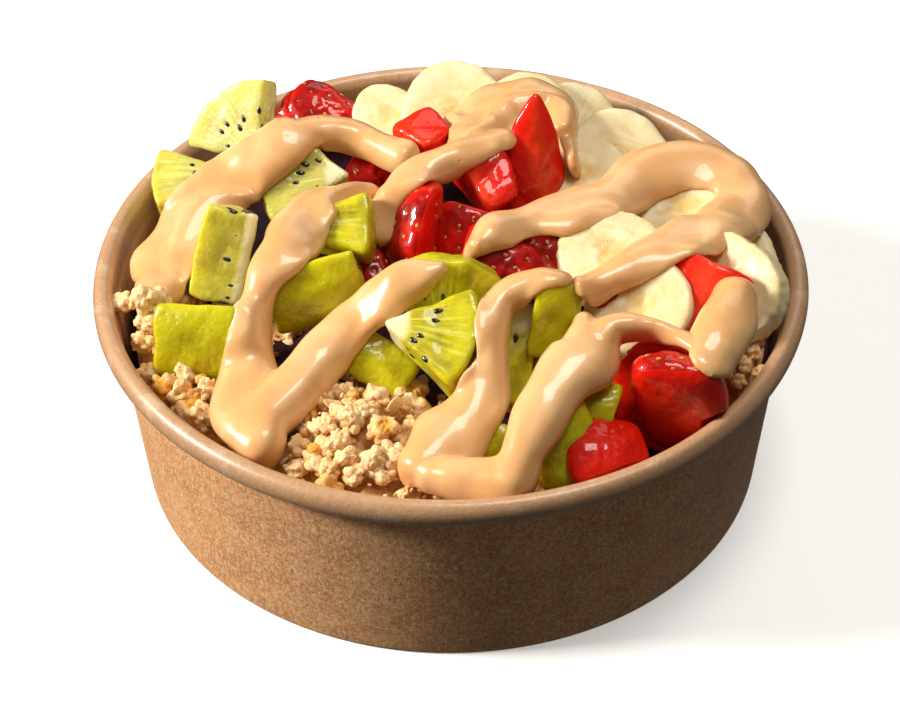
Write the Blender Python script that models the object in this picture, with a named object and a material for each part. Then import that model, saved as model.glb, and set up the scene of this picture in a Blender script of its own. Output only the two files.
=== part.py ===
"""Acai bowl: a turned paper bowl filled with fruit puree, granola, cut fruit and poured nut butter.

The sizes below are in millimetres; MM turns them into the metres of the finished objects.  The bowl
stands on z = 0 with its centre on the z axis.  Every cut fruit is its whole fruit, a turned body, cut by
flat planes.  Every piece is trimmed by the pieces that lie over it, with a narrow gap left between them.
"""
import math

import bmesh
import bpy
import numpy as np
from mathutils import Matrix, Vector

MM = 0.001

# Paper bowl
RIM_RADIUS = 75.0
BOWL_HEIGHT = 48.0
FOOT_RADIUS = 67.5
NECK_RADIUS = 70.9
PAPER = 0.8
FOOT_PAPER = 1.4
FOOT_FOLD_HEIGHT = 6.0
RIM_WIDTH = 4.3
RIM_TALL = 5.5
BOTTOM_HEIGHT = 6.5
BOTTOM_PAPER = 0.8
BOWL_COLUMNS = 60
RIM_STEPS = 6

# Spaces between neighbours
GAP = 0.4
NUDGE = 0.06
WELD = 1e-6
WALL_GAP = 0.8

# Filling under the toppings
BASE_EDGE_HEIGHT = 34.0
BASE_CROWN = 7.0

# Granola bed
GRANOLA_HEIGHT = 37.5
GRANOLA_ROWS = 7
GRANOLA_THIN = 1.5

# Banks of granola: from and to which direction, in degrees, the inner radius and the number of columns
GRANOLA_BANKS = {
    "granola_front": (166, 300, 31, 28),
    "granola_right": (-42, -8, 54, 8),
}
PUREE_COLUMNS = 32

# Poured nut butter
ROPE_STEP = 5.0
ROPE_COLUMNS = 8
ROPE_FLATNESS = 0.8
ROPE_TALLEST = 3.4
ROPE_SKIN = 0.6
ROPE_LIFT = (0.0, -0.45, 0.9)

# Whole fruits the pieces are cut from
KIWI_HALF_LENGTH = 34.0
KIWI_COLUMNS = 20
KIWI_ROWS = 8
BERRY_HALF_LENGTH = 16.0
BERRY_TAPER = 0.8
BERRY_SHOULDER = 0.42
BERRY_WIDEST = BERRY_SHOULDER / (BERRY_SHOULDER + BERRY_TAPER)
BERRY_SWELL = 1 / ((1 - BERRY_WIDEST) ** BERRY_TAPER * BERRY_WIDEST ** BERRY_SHOULDER)
BERRY_COLUMNS = 14
BERRY_ROWS = 8
EDGE_CHAMFER = 0.9
BANANA_COLUMNS = 16

# Kiwi pieces: the core point of the slice, the way from the core to the skin, the way along the fruit,
# the wedge angle in degrees, the fruit radius, the slice thickness and how much of the core is cut off.
KIWI_PIECES = {
    "kiwi_back_slice": ((-40, 30, 52), (-0.63, 0.43, 0.65), (-0.35, -0.74, 0.57), 84, 18, 8, 0),
    "kiwi_left_chunk": ((-45, 23, 52), (-0.99, -0.06, 0.09), (-0.10, -0.38, 0.92), 48, 19, 10, 4),
    "kiwi_upper_wedge": ((-21, 22, 53), (-0.99, -0.02, 0.13), (0.00, -0.61, 0.79), 74, 20, 8, 0),
    "kiwi_left_slice": ((-40, -7, 53), (-0.89, 0.41, -0.18), (0.23, 0.51, 0.83), 62, 13, 20, 1.5),
    "kiwi_middle_block": ((-39, -0, 55), (0.99, -0.06, 0.08), (-0.12, -0.53, 0.84), 35, 24, 10, 11),
    "kiwi_skin_block": ((-28, -6, 49), (0.05, -0.92, 0.39), (0.96, 0.15, 0.25), 52, 16, 20, 0),
    "kiwi_left_cheek": ((-48, -17, 45), (0.00, -0.94, 0.34), (0.99, -0.15, 0.05), 74, 15, 19.5, 0),
    "kiwi_rear_slab": ((-2, -25, 48), (0.01, 0.39, 0.92), (0.15, -0.91, 0.38), 100, 17, 7, 0),
    "kiwi_front_wedge": ((-13, -31, 55), (0.97, -0.22, -0.10), (-0.10, -0.48, 0.87), 68, 19.5, 10, 0),
    "kiwi_small_bit": ((-13, -27, 40), (-0.10, -0.60, 0.79), (0.85, -0.41, -0.32), 60, 11, 13, 0),
    "kiwi_centre_wedge": ((14, -26, 58), (-0.09, -0.27, -0.96), (0.99, -0.15, -0.02), 52, 21, 8, 0),
    "kiwi_green_slab": ((17, -20, 51), (0.35, -0.77, 0.53), (0.16, 0.48, 0.86), 50, 13, 16, 0),
    "kiwi_right_chunk": ((27, -43, 43), (0.10, -0.60, 0.79), (0.94, -0.28, -0.17), 64, 11, 11, 0),
    "kiwi_front_slab": ((20, -50, 43), (0.20, -0.81, 0.56), (-0.46, 0.50, 0.74), 90, 11, 17, 0),
    "kiwi_front_bit": ((7, -47, 39), (0.00, -0.76, 0.65), (1.00, -0.01, -0.01), 60, 9, 9, 0),
}

# Strawberry pieces: the middle of the berry's axis, the way from the axis to the skin, the way to the
# berry's tip, the wedge angle in degrees, the berry radius, and where along the axis it is cut off.
BERRY_PIECES = {
    "strawberry_back": ((-28, 61, 40), (0.00, -0.53, 0.85), (0.90, -0.43, -0.04), 110, 10, -8, 8),
    "strawberry_back_left": ((-33, 60, 40), (-0.20, -0.59, 0.78), (0.64, -0.76, -0.06), 90, 9, -6, 6),
    "strawberry_cube": ((-10, 28, 61), (0.55, 0.49, -0.67), (0.70, -0.71, -0.01), 84, 12.5, -4.5, 7),
    "strawberry_dark_cheek": ((-15, 29, 44), (0.00, -0.53, 0.85), (0.94, -0.29, -0.18), 100, 10, -8, 7),
    "strawberry_two_faced": ((5, 10, 60), (0.46, 0.79, -0.41), (0.55, -0.68, -0.48), 92, 11, -7.5, 7.5),
    "strawberry_peak": ((21, 18, 60), (-0.46, 0.74, -0.50), (-0.03, 0.53, 0.85), 92, 13, -12.5, 16),
    "strawberry_tall": ((-1, 4, 53), (-0.93, -0.24, 0.29), (0.06, 0.39, 0.92), 90, 13.5, -10, 10),
    "strawberry_middle": ((2, 5, 46), (0.20, -0.51, 0.83), (-0.32, -0.76, -0.57), 100, 11, -8, 8),
    "strawberry_seeded": ((12, -8, 50), (0.00, -0.53, 0.85), (0.96, -0.25, -0.13), 120, 10, -10, 13),
    "strawberry_small": ((19, -4, 51), (0.10, -0.52, 0.85), (0.43, -0.74, -0.52), 90, 8, -6, 6),
    "strawberry_sliver": ((-18, -2, 46), (0.30, -0.49, 0.82), (-0.40, 0.60, 0.70), 80, 8, -6, 6),
    "strawberry_right": ((49, -26, 58), (0.30, 0.78, -0.55), (-0.43, -0.66, -0.61), 150, 9.8, -9, 14),
    "strawberry_right_knob": ((31, -19, 51), (0.00, -0.92, 0.39), (0.06, 0.39, 0.92), 96, 8, -6, 7),
    "strawberry_dull": ((39, -41, 50), (0.00, 0.76, -0.65), (0.12, 0.47, 0.88), 150, 10, -9, 10),
    "strawberry_front_right": ((45, -52, 52), (-0.09, 1.00, 0.03), (0.95, -0.14, 0.27), 170, 10.5, -9.5, 7.5),
    "strawberry_front": ((30, -56, 38), (0.21, -0.18, 0.96), (0.97, 0.22, 0.09), 96, 9.5, -8, 7),
}

# Banana slices: the middle, the way the flat face looks, the radius, the thickness and a shape number
# that turns the uneven outline.
BANANA_SLICES = {
    "banana_back_left": ((-14, 57, 44), (0.05, -0.39, 0.92), 8.5, 6, 0.3),
    "banana_back_rim": ((2, 49, 49), (0.00, -0.57, 0.82), 13.5, 6, 1.1),
    "banana_back": ((17, 44, 51), (0.10, -0.52, 0.85), 12, 6, 2.0),
    "banana_back_right": ((27, 46, 48), (0.15, -0.42, 0.89), 12, 6, 2.7),
    "banana_inner": ((28, 24, 51), (0.01, -0.33, 0.94), 11.5, 6, 0.8),
    "banana_outer": ((37, 30, 51), (0.11, -0.33, 0.94), 12.3, 6, 1.7),
    "banana_loop": ((49, 12, 51), (0.01, -0.33, 0.94), 11, 6, 2.4),
    "banana_centre": ((33, -8, 54), (0.05, -0.35, 0.93), 11.5, 6, 0.1),
    "banana_right": ((57, -1, 46), (-0.19, -0.42, 0.89), 12, 6, 1.4),
    "banana_front": ((38, -24, 54), (-0.22, -0.46, 0.86), 11, 6, 2.2),
    "banana_standing": ((56, -17, 52), (-0.50, -0.54, 0.67), 12.5, 6, 0.6),
}

# Poured nut butter: runs as points of their middle line, x, y and height, and the half width there.
SAUCE_RUNS = {
    "left_lobe": [
        (-61, -3, 46, 5), (-59, 4, 46, 6.5), (-54, 14, 48, 7), (-47, 22, 52, 6.5), (-40, 24, 57, 5.5),
        (-33, 25, 60, 4.5), (-27, 31, 59, 3), (-19, 32, 57, 3), (-11, 25, 58, 2),
    ],
    "left_rope": [
        (-18, 14, 55, 1.5), (-22, 10, 57, 2.5), (-27, 4, 59, 4), (-30, -4, 60, 5), (-33, -12, 60, 4.5),
        (-38, -18, 58, 3), (-39, -22, 54, 3), (-40, -28, 49, 3.5), (-40, -38, 47, 5),
        (-39, -48, 47, 6), (-36, -53, 46, 4),
    ],
    "middle_rope": [
        (-37, -48, 47, 4), (-31, -40, 48, 4), (-24, -31, 50, 4), (-18, -25, 54, 4),
        (-11, -24, 59, 3.5), (-6, -23, 61, 2.5), (-3, -22, 62, 1),
    ],
    "front_rope": [
        (-5, -60, 46, 3.5), (0, -55, 47, 5), (4, -49, 49, 4), (7, -43, 51, 3.5), (8, -39, 54, 2.5),
        (8, -34, 57, 2.5), (10, -27, 60, 3), (16, -24, 61, 2.5), (23, -24, 61, 1.5),
    ],
    "front_pool": [
        (-4, -63, 46, 2.5), (3, -65, 47, 3), (11, -65, 48, 4), (13, -61, 51, 3.5),
    ],
    "right_rope": [
        (11, -66, 48, 3.5), (14, -60, 52, 3.5), (18, -54, 56, 3.5), (22, -47, 58, 5),
        (26, -42, 59, 5.5), (28, -39, 60, 4.5), (37, -36, 60, 1), (44, -39, 59, 1), (48, -43, 59, 1.5),
    ],
    "right_drop": [
        (57, -28, 61, 3.5), (54, -35, 61, 5), (51, -41, 60, 5), (50, -44, 58, 3.5),
    ],
    "upper_rope": [
        (-14, 3, 52, 1.5), (-13, 7, 56, 2.5), (-9, 11, 60, 3), (-3, 14, 63, 3), (4, 17, 63, 2.5),
        (11, 23, 60, 2.5),
    ],
    "back_sheet": [
        (3, 39, 55, 3.5), (8, 41, 57, 6), (14, 43, 58, 7), (20, 45, 58, 5.5), (25, 43, 57, 3.5),
        (26, 32, 58, 2),
    ],
    "back_join": [
        (4, 20, 61, 3), (5, 29, 59, 5), (10, 39, 57, 5.5),
    ],
    "back_film": [
        (26, 32, 58, 2), (27, 26, 57, 2), (27, 18, 57, 2),
    ],
    "loop_rope": [
        (6, -10, 61, 2), (9, -6, 61, 3), (17, 1, 59, 3.5), (26, 4, 57, 5), (36, 10, 57, 4),
        (44, 17, 57, 4.5), (52, 21, 56, 5), (60, 18, 55, 5), (61, 11, 54, 4), (55, -2, 57, 4),
        (45, -12, 60, 3.5), (36, -19, 60, 3), (27, -23, 59, 2),
    ],
}

# The runs that have flowed together, by the piece they make.
SAUCE_PIECES = {
    "sauce_left_lobe": ["left_lobe"],
    "sauce_left_rope": ["left_rope", "middle_rope"],
    "sauce_middle": ["upper_rope", "back_join", "back_sheet", "back_film"],
    "sauce_loop": ["loop_rope"],
    "sauce_front": ["front_rope", "front_pool", "right_rope"],
    "sauce_drop": ["right_drop"],
}

# Pieces from the lowest to the highest: each is trimmed by those after it.
LAYERS = [
    "banana_back_left", "strawberry_back_left", "strawberry_back", "banana_back_rim", "banana_back_right",
    "banana_back", "banana_inner", "banana_outer", "banana_right", "banana_loop", "banana_standing",
    "strawberry_middle", "strawberry_dark_cheek", "strawberry_sliver", "kiwi_back_slice",
    "kiwi_left_chunk", "kiwi_upper_wedge", "kiwi_left_cheek", "kiwi_left_slice", "kiwi_skin_block",
    "kiwi_middle_block", "strawberry_cube", "strawberry_two_faced", "strawberry_peak",
    "strawberry_tall", "strawberry_small", "strawberry_seeded", "banana_centre", "banana_front",
    "kiwi_rear_slab", "kiwi_small_bit", "kiwi_front_bit", "kiwi_front_slab", "kiwi_right_chunk",
    "kiwi_green_slab", "kiwi_centre_wedge", "kiwi_front_wedge", "strawberry_right_knob",
    "strawberry_front", "strawberry_dull", "strawberry_front_right", "strawberry_right",
]

COLOURS = {
    "kraft_paper": (0.45, 0.26, 0.14),
    "acai_puree": (0.05, 0.01, 0.03),
    "oat_granola": (0.62, 0.40, 0.20),
    "kiwi_flesh": (0.40, 0.42, 0.03),
    "strawberry_flesh": (0.60, 0.02, 0.01),
    "banana_flesh": (0.86, 0.78, 0.48),
    "nut_butter": (0.62, 0.38, 0.20),
}


def slot_material(name):
    """The plain material of one slot, made once."""
    material = bpy.data.materials.get(name)
    if material is None:
        material = bpy.data.materials.new(name)
        material.use_nodes = True
        shader = material.node_tree.nodes["Principled BSDF"]
        shader.inputs["Base Color"].default_value = (*COLOURS[name], 1.0)
        shader.inputs["Roughness"].default_value = 0.5
        material.diffuse_color = (*COLOURS[name], 1.0)
    return material


def frame_matrix(origin, out, axis):
    """The turn and shift that lay local x along out and local z along the axis, at the origin."""
    along = Vector(axis).normalized()
    across = Vector(out)
    across = (across - along * across.dot(along)).normalized()
    side = along.cross(across)
    turn = Matrix((across, side, along)).transposed().to_4x4()
    return Matrix.Translation(Vector(origin)) @ turn


def turned_body(profile, columns):
    """A closed body turned about z from a list of (radius, height) points between its two poles."""
    bm = bmesh.new()
    low, high = profile[0], profile[-1]
    rings = []
    for radius, height in profile[1:-1]:
        angles = [2 * math.pi * k / columns for k in range(columns)]
        ring = [bm.verts.new((radius * math.cos(a), radius * math.sin(a), height)) for a in angles]
        rings.append(ring)
    bottom = bm.verts.new((0.0, 0.0, low[1]))
    top = bm.verts.new((0.0, 0.0, high[1]))
    for k in range(columns):
        nxt = (k + 1) % columns
        bm.faces.new((rings[0][nxt], rings[0][k], bottom))
        bm.faces.new((rings[-1][k], rings[-1][nxt], top))
        for lower, upper in zip(rings, rings[1:]):
            bm.faces.new((lower[k], lower[nxt], upper[nxt], upper[k]))
    return bm


def cut_by_planes(bm, planes):
    """Keep the part of a convex body inside every plane, given as an outward way and a distance."""
    for way, distance in planes:
        normal = Vector(way).normalized()
        geometry = bm.verts[:] + bm.edges[:] + bm.faces[:]
        cut = bmesh.ops.bisect_plane(bm, geom=geometry, plane_co=normal * distance, plane_no=normal,
                                     dist=1e-5, clear_outer=True)
        rim = [e for e in cut["geom_cut"] if isinstance(e, bmesh.types.BMEdge) and e.is_boundary]
        if len(rim) > 2:
            bmesh.ops.contextual_create(bm, geom=rim)
    return bm


def with_chamfers(planes, depth):
    """The planes, and between each two that meet at a sharp edge one more that cuts the edge off."""
    extra = []
    for first in range(len(planes)):
        for second in range(first + 1, len(planes)):
            one, one_distance = Vector(planes[first][0]).normalized(), planes[first][1]
            two, two_distance = Vector(planes[second][0]).normalized(), planes[second][1]
            total = one + two
            if 0.5 < total.length < 1.85:
                reach = (one_distance + two_distance) / total.length
                extra.append((total, reach - depth / total.length))
    return planes + extra


def wedge_planes(angle, low, high, inner, grow):
    """The planes of a wedge of a slice: two cuts through the axis, the two slice faces, the core cut."""
    half = math.radians(angle) / 2
    planes = [((0, 0, 1), high + grow), ((0, 0, -1), -low + grow)]
    if angle < 180:
        planes.append(((-math.sin(half), math.cos(half), 0), grow))
        planes.append(((-math.sin(half), -math.cos(half), 0), grow))
    if angle < 360 and (inner or angle >= 180):
        planes.append(((-1, 0, 0), -inner + grow))
    return planes


def kiwi_profile(radius, grow):
    """Half of the long section of the fruit: an ellipse."""
    points = []
    for row in range(KIWI_ROWS + 1):
        turn = -math.pi / 2 + math.pi * row / KIWI_ROWS
        points.append(((radius + grow) * math.cos(turn), (KIWI_HALF_LENGTH + grow) * math.sin(turn)))
    return points


def berry_profile(radius, grow):
    """Half of the long section of a strawberry: broad shoulders at the stem, a blunt tip."""
    points = []
    for row in range(BERRY_ROWS + 1):
        share = 0.5 - 0.5 * math.cos(math.pi * row / BERRY_ROWS)
        swell = BERRY_SWELL * (1 - share) ** BERRY_TAPER * share ** BERRY_SHOULDER
        height = (2 * share - 1) * (BERRY_HALF_LENGTH + grow)
        points.append((max((radius + grow) * swell, 0.0), height))
    return points


def kiwi_solid(spec, grow=0.0):
    """A wedge of a kiwi slice, placed; grow moves every face out by that much."""
    origin, out, axis, angle, radius, thick, inner = spec
    bm = turned_body(kiwi_profile(radius, grow), KIWI_COLUMNS)
    planes = wedge_planes(angle, -thick / 2, thick / 2, inner, grow)
    cut_by_planes(bm, with_chamfers(planes, EDGE_CHAMFER))
    bm.transform(frame_matrix(origin, out, axis))
    return bm


def berry_solid(spec, grow=0.0):
    """A wedge of a strawberry, placed; grow moves every face out by that much."""
    origin, out, axis, angle, radius, low, high = spec
    bm = turned_body(berry_profile(radius, grow), BERRY_COLUMNS)
    planes = wedge_planes(angle, low, high, 0, grow)
    cut_by_planes(bm, with_chamfers(planes, EDGE_CHAMFER))
    bm.transform(frame_matrix(origin, out, axis))
    return bm


def banana_solid(spec, grow=0.0):
    """A slice of banana: a disc with an uneven outline, softly rounded edges and slightly domed faces."""
    origin, axis, radius, thick, shape = spec
    columns = BANANA_COLUMNS
    half = thick / 2 + grow
    rings = [(0.9, -half), (1.0, -half + 1.0), (1.0, half - 1.0), (0.9, half)]
    bm = bmesh.new()
    placed = []
    for share, height in rings:
        ring = []
        for k in range(columns):
            turn = 2 * math.pi * k / columns
            wave = 1 + 0.035 * math.cos(3 * turn + shape) + 0.025 * math.cos(2 * turn + 2.3 * shape)
            reach = radius * wave * share + grow
            ring.append(bm.verts.new((reach * math.cos(turn), reach * math.sin(turn), height)))
        placed.append(ring)
    bottom = bm.verts.new((0.0, 0.0, -half - 0.3))
    top = bm.verts.new((0.0, 0.0, half + 0.3))
    for k in range(columns):
        nxt = (k + 1) % columns
        bm.faces.new((placed[0][nxt], placed[0][k], bottom))
        bm.faces.new((placed[-1][k], placed[-1][nxt], top))
        for lower, upper in zip(placed, placed[1:]):
            bm.faces.new((lower[k], lower[nxt], upper[nxt], upper[k]))
    bm.transform(frame_matrix(origin, (1.0, 0.05, 0.0), axis))
    return bm


def topping(name, grow=0.0):
    """The body of one cut fruit by its name."""
    if name in KIWI_PIECES:
        return kiwi_solid(KIWI_PIECES[name], grow)
    if name in BERRY_PIECES:
        return berry_solid(BERRY_PIECES[name], grow)
    return banana_solid(BANANA_SLICES[name], grow)


def add_object(name, bm, slot):
    """Turn a body in millimetres into an object in metres with its slot's material."""
    bmesh.ops.triangulate(bm, faces=bm.faces)
    bmesh.ops.recalc_face_normals(bm, faces=bm.faces)
    bm.transform(Matrix.Scale(MM, 4))
    mesh = bpy.data.meshes.new(name)
    bm.to_mesh(mesh)
    bm.free()
    body = bpy.data.objects.new(name, mesh)
    bpy.context.scene.collection.objects.link(body)
    mesh.materials.append(slot_material(slot))
    return body


def bounds_of(body):
    """The lowest and highest corners of an object that stands at the origin."""
    points = np.empty(len(body.data.vertices) * 3)
    body.data.vertices.foreach_get("co", points)
    points = points.reshape(-1, 3)
    return points.min(axis=0), points.max(axis=0)


def boxes_meet(one, two):
    """Whether the boxes of two objects overlap."""
    one_low, one_high = bounds_of(one)
    two_low, two_high = bounds_of(two)
    return bool(np.all(one_low < two_high) and np.all(two_low < one_high))


def keep_largest(body):
    """Drop every loose piece of an object but the one with the most volume."""
    bm = bmesh.new()
    bm.from_mesh(body.data)
    bmesh.ops.remove_doubles(bm, verts=bm.verts, dist=1e-6)
    unseen = set(bm.verts)
    groups = []
    while unseen:
        seed = next(iter(unseen))
        stack = [seed]
        unseen.discard(seed)
        group = [seed]
        while stack:
            vertex = stack.pop()
            for edge in vertex.link_edges:
                other = edge.other_vert(vertex)
                if other in unseen:
                    unseen.discard(other)
                    stack.append(other)
                    group.append(other)
        groups.append(group)

    def size(group):
        points = np.array([v.co for v in group])
        return float(np.prod(np.ptp(points, axis=0) + 1e-9))

    groups.sort(key=size)
    extra = [v for group in groups[:-1] for v in group]
    bmesh.ops.delete(bm, geom=extra, context="VERTS")
    bm.to_mesh(body.data)
    bm.free()


def volume_of(mesh):
    """The enclosed volume of a mesh in cubic millimetres, or minus one where it is not closed."""
    bm = bmesh.new()
    bm.from_mesh(mesh)
    closed = all(len(edge.link_faces) == 2 for edge in bm.edges)
    volume = bm.calc_volume(signed=True) / MM ** 3
    bm.free()
    return volume if closed else -1.0


def combine(body, other, operation):
    """Join or cut two closed objects with the exact solver.

    A result that is open, or whose volume cannot be right, is made again with the careful settings and
    with the other object nudged by a hair, well inside the gap that is left round every piece.
    """
    before = volume_of(body.data)
    added = volume_of(other.data)
    lowest, highest = (before - added, before) if operation == "DIFFERENCE" else (before, before + added)
    for careful, nudge in ((False, 0.0), (True, 0.0), (False, NUDGE), (False, -NUDGE), (True, NUDGE)):
        other.location = (nudge * MM, 0.6 * nudge * MM, 0.3 * nudge * MM)
        bpy.context.view_layer.update()
        modifier = body.modifiers.new("combine", "BOOLEAN")
        modifier.operation = operation
        modifier.solver = "EXACT"
        modifier.use_self = careful
        modifier.use_hole_tolerant = careful
        modifier.object = other
        graph = bpy.context.evaluated_depsgraph_get()
        result = bpy.data.meshes.new_from_object(body.evaluated_get(graph))
        body.modifiers.remove(modifier)
        tidy = bmesh.new()
        tidy.from_mesh(result)
        bmesh.ops.remove_doubles(tidy, verts=tidy.verts, dist=WELD)
        bmesh.ops.dissolve_degenerate(tidy, edges=tidy.edges, dist=WELD)
        bmesh.ops.triangulate(tidy, faces=tidy.faces)
        tidy.to_mesh(result)
        tidy.free()
        after = volume_of(result)
        if lowest - 0.5 <= after <= highest + 0.5 and after > 0:
            break
    else:
        print("left out", operation, body.name, other.name, round(before), round(added), round(after))
        bpy.data.meshes.remove(result)
        return
    other.location = (0.0, 0.0, 0.0)
    old = body.data
    body.data = result
    bpy.data.meshes.remove(old)


def subtract(body, cutter):
    """Cut one object out of another."""
    combine(body, cutter, "DIFFERENCE")


def slot_of(name):
    """The material slot of a topping."""
    if name in KIWI_PIECES:
        return "kiwi_flesh"
    if name in BERRY_PIECES:
        return "strawberry_flesh"
    return "banana_flesh"


def smooth_path(points, step):
    """Rows of x, y, height and half width along a run, about one step apart, through every point."""
    rows = np.array(points, dtype=float)
    rows = np.vstack([2 * rows[0] - rows[1], rows, 2 * rows[-1] - rows[-2]])
    found = []
    for k in range(1, len(rows) - 2):
        before, start, end, after = rows[k - 1], rows[k], rows[k + 1], rows[k + 2]
        count = max(int(np.linalg.norm(end[:3] - start[:3]) / step), 1)
        share = (np.arange(count) / count)[:, None]
        found.append(0.5 * (2 * start + (end - before) * share
                            + (2 * before - 5 * start + 4 * end - after) * share ** 2
                            + (3 * start - before - 3 * end + after) * share ** 3))
    found.append(rows[-2][None])
    return np.vstack(found)


def rope(points, grow):
    """A closed rope along a run: flat oval sections that shrink to round ends."""
    rows = smooth_path(points, ROPE_STEP)
    middle = rows[:, :3]
    wide = rows[:, 3] + ROPE_SKIN + grow
    away = np.gradient(middle, axis=0)
    away /= np.linalg.norm(away, axis=1)[:, None]
    lift = np.tile(np.array(ROPE_LIFT), (len(rows), 1))
    lift -= away * np.sum(lift * away, axis=1)[:, None]
    lift /= np.linalg.norm(lift, axis=1)[:, None]
    side = np.cross(away, lift)
    tall = np.minimum(wide * ROPE_FLATNESS, ROPE_TALLEST + grow)
    caps = np.array([0.95, 0.7, 0.3])
    start = middle[0] - away[0] * (wide[0] * caps)[:, None]
    finish = middle[-1] + away[-1] * (wide[-1] * caps[::-1])[:, None]
    middle = np.vstack([start, middle, finish])
    shrink = np.sqrt(1 - caps ** 2)
    wide = np.concatenate([wide[0] * shrink, wide, wide[-1] * shrink[::-1]])
    tall = np.concatenate([tall[0] * shrink, tall, tall[-1] * shrink[::-1]])
    side = np.vstack([np.tile(side[0], (3, 1)), side, np.tile(side[-1], (3, 1))])
    lift = np.vstack([np.tile(lift[0], (3, 1)), lift, np.tile(lift[-1], (3, 1))])
    turns = 2 * np.pi * np.arange(ROPE_COLUMNS) / ROPE_COLUMNS
    bm = bmesh.new()
    rings = []
    for k in range(len(middle)):
        ring = []
        for turn in turns:
            spot = middle[k] + side[k] * wide[k] * math.cos(turn) + lift[k] * tall[k] * math.sin(turn)
            ring.append(bm.verts.new(spot))
        rings.append(ring)
    for lower, upper in zip(rings, rings[1:]):
        for k in range(ROPE_COLUMNS):
            nxt = (k + 1) % ROPE_COLUMNS
            bm.faces.new((lower[k], lower[nxt], upper[nxt], upper[k]))
    bm.faces.new(rings[0][::-1])
    bm.faces.new(rings[-1])
    return bm


def sauce_body(name, grow=0.0):
    """The runs of one piece joined into one body."""
    suffix = "_cutter" if grow else ""
    body = None
    for run in SAUCE_PIECES[name]:
        one = add_object(run + suffix, rope(SAUCE_RUNS[run], grow), "nut_butter")
        if body is None:
            body = one
        else:
            combine(body, one, "UNION")
            bpy.data.objects.remove(one)
    body.name = name + suffix
    return body


def wall_points():
    """The closed section of the paper bowl: foot fold, tapered wall and the rolled rim, as (r, z)."""
    slope = (NECK_RADIUS - FOOT_RADIUS) / (BOWL_HEIGHT - RIM_TALL)
    rim_middle = RIM_RADIUS - RIM_WIDTH / 2
    rim_height = BOWL_HEIGHT - RIM_TALL / 2
    points = [(FOOT_RADIUS - FOOT_PAPER, 0.0), (FOOT_RADIUS, 0.0)]
    points.append((NECK_RADIUS, BOWL_HEIGHT - RIM_TALL))
    for k in range(1, RIM_STEPS):
        turn = -math.pi / 2 + (math.pi + math.pi * 0.5) * k / RIM_STEPS
        points.append((rim_middle + RIM_WIDTH / 2 * math.cos(turn),
                       rim_height + RIM_TALL / 2 * math.sin(turn)))
    points.append((rim_middle - RIM_WIDTH / 2, rim_height))
    inner = NECK_RADIUS - PAPER - slope * 1.0
    points.append((inner, BOWL_HEIGHT - RIM_TALL - 1.0))
    points.append((FOOT_RADIUS - PAPER + slope * FOOT_FOLD_HEIGHT, FOOT_FOLD_HEIGHT + 0.6))
    points.append((FOOT_RADIUS - FOOT_PAPER + slope * FOOT_FOLD_HEIGHT, FOOT_FOLD_HEIGHT))
    return points


def turned_ring(points, columns):
    """A ring turned about z from a closed section that stays off the axis."""
    bm = bmesh.new()
    rings = []
    for radius, height in points:
        angles = [2 * math.pi * k / columns for k in range(columns)]
        rings.append([bm.verts.new((radius * math.cos(a), radius * math.sin(a), height)) for a in angles])
    for lower, upper in zip(rings, rings[1:] + rings[:1]):
        for k in range(columns):
            nxt = (k + 1) % columns
            bm.faces.new((lower[k], lower[nxt], upper[nxt], upper[k]))
    return bm


def wall_inside(height):
    """The inner radius of the paper wall at a height."""
    slope = (NECK_RADIUS - FOOT_RADIUS) / (BOWL_HEIGHT - RIM_TALL)
    return FOOT_RADIUS - FOOT_PAPER + slope * height


def base_top(x, y):
    """The puree's upper face: a low dome that carries the toppings."""
    return BASE_EDGE_HEIGHT + BASE_CROWN * max(0.0, 1 - (x * x + y * y) / 66.0 ** 2)


def granola_top(x, y):
    """The granola's upper face: a heap at the front left, lower banks elsewhere, lumpy all over."""
    heap_front = 11.0 * math.exp(-((x + 17) ** 2 / 260 + (y + 47) ** 2 / 150))
    heap_left = 12.0 * math.exp(-((x + 62) ** 2 / 60 + (y + 12) ** 2 / 160))
    heap_low_left = 6.0 * math.exp(-((x + 52) ** 2 / 80 + (y + 34) ** 2 / 90))
    heap_right = 7.0 * math.exp(-((x - 60) ** 2 / 60 + (y + 26) ** 2 / 90))
    lumps = 0.9 * math.sin(x / 2.1 + 1.3 * math.sin(y / 3.3)) * math.cos(y / 2.4 + x / 5.0)
    return GRANOLA_HEIGHT + heap_front + heap_left + heap_low_left + heap_right + lumps


def wall_cutter():
    """A ring a little larger than the paper wall and its rim, to keep the filling clear of them."""
    slope = (NECK_RADIUS - FOOT_RADIUS) / (BOWL_HEIGHT - RIM_TALL)
    outside = RIM_RADIUS + 3
    rim_inside = RIM_RADIUS - RIM_WIDTH - GAP
    points = [(FOOT_RADIUS - FOOT_PAPER - GAP, -1.0), (outside, -1.0), (outside, BOWL_HEIGHT + GAP)]
    points.append((rim_inside + 0.8, BOWL_HEIGHT + GAP))
    points.append((rim_inside, BOWL_HEIGHT - 0.6))
    points.append((rim_inside, BOWL_HEIGHT - RIM_TALL / 2))
    points.append((NECK_RADIUS - PAPER - slope - GAP, BOWL_HEIGHT - RIM_TALL - 1.0))
    points.append((FOOT_RADIUS - PAPER + slope * FOOT_FOLD_HEIGHT - GAP, FOOT_FOLD_HEIGHT + 0.6))
    return turned_ring(points, BOWL_COLUMNS)


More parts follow.
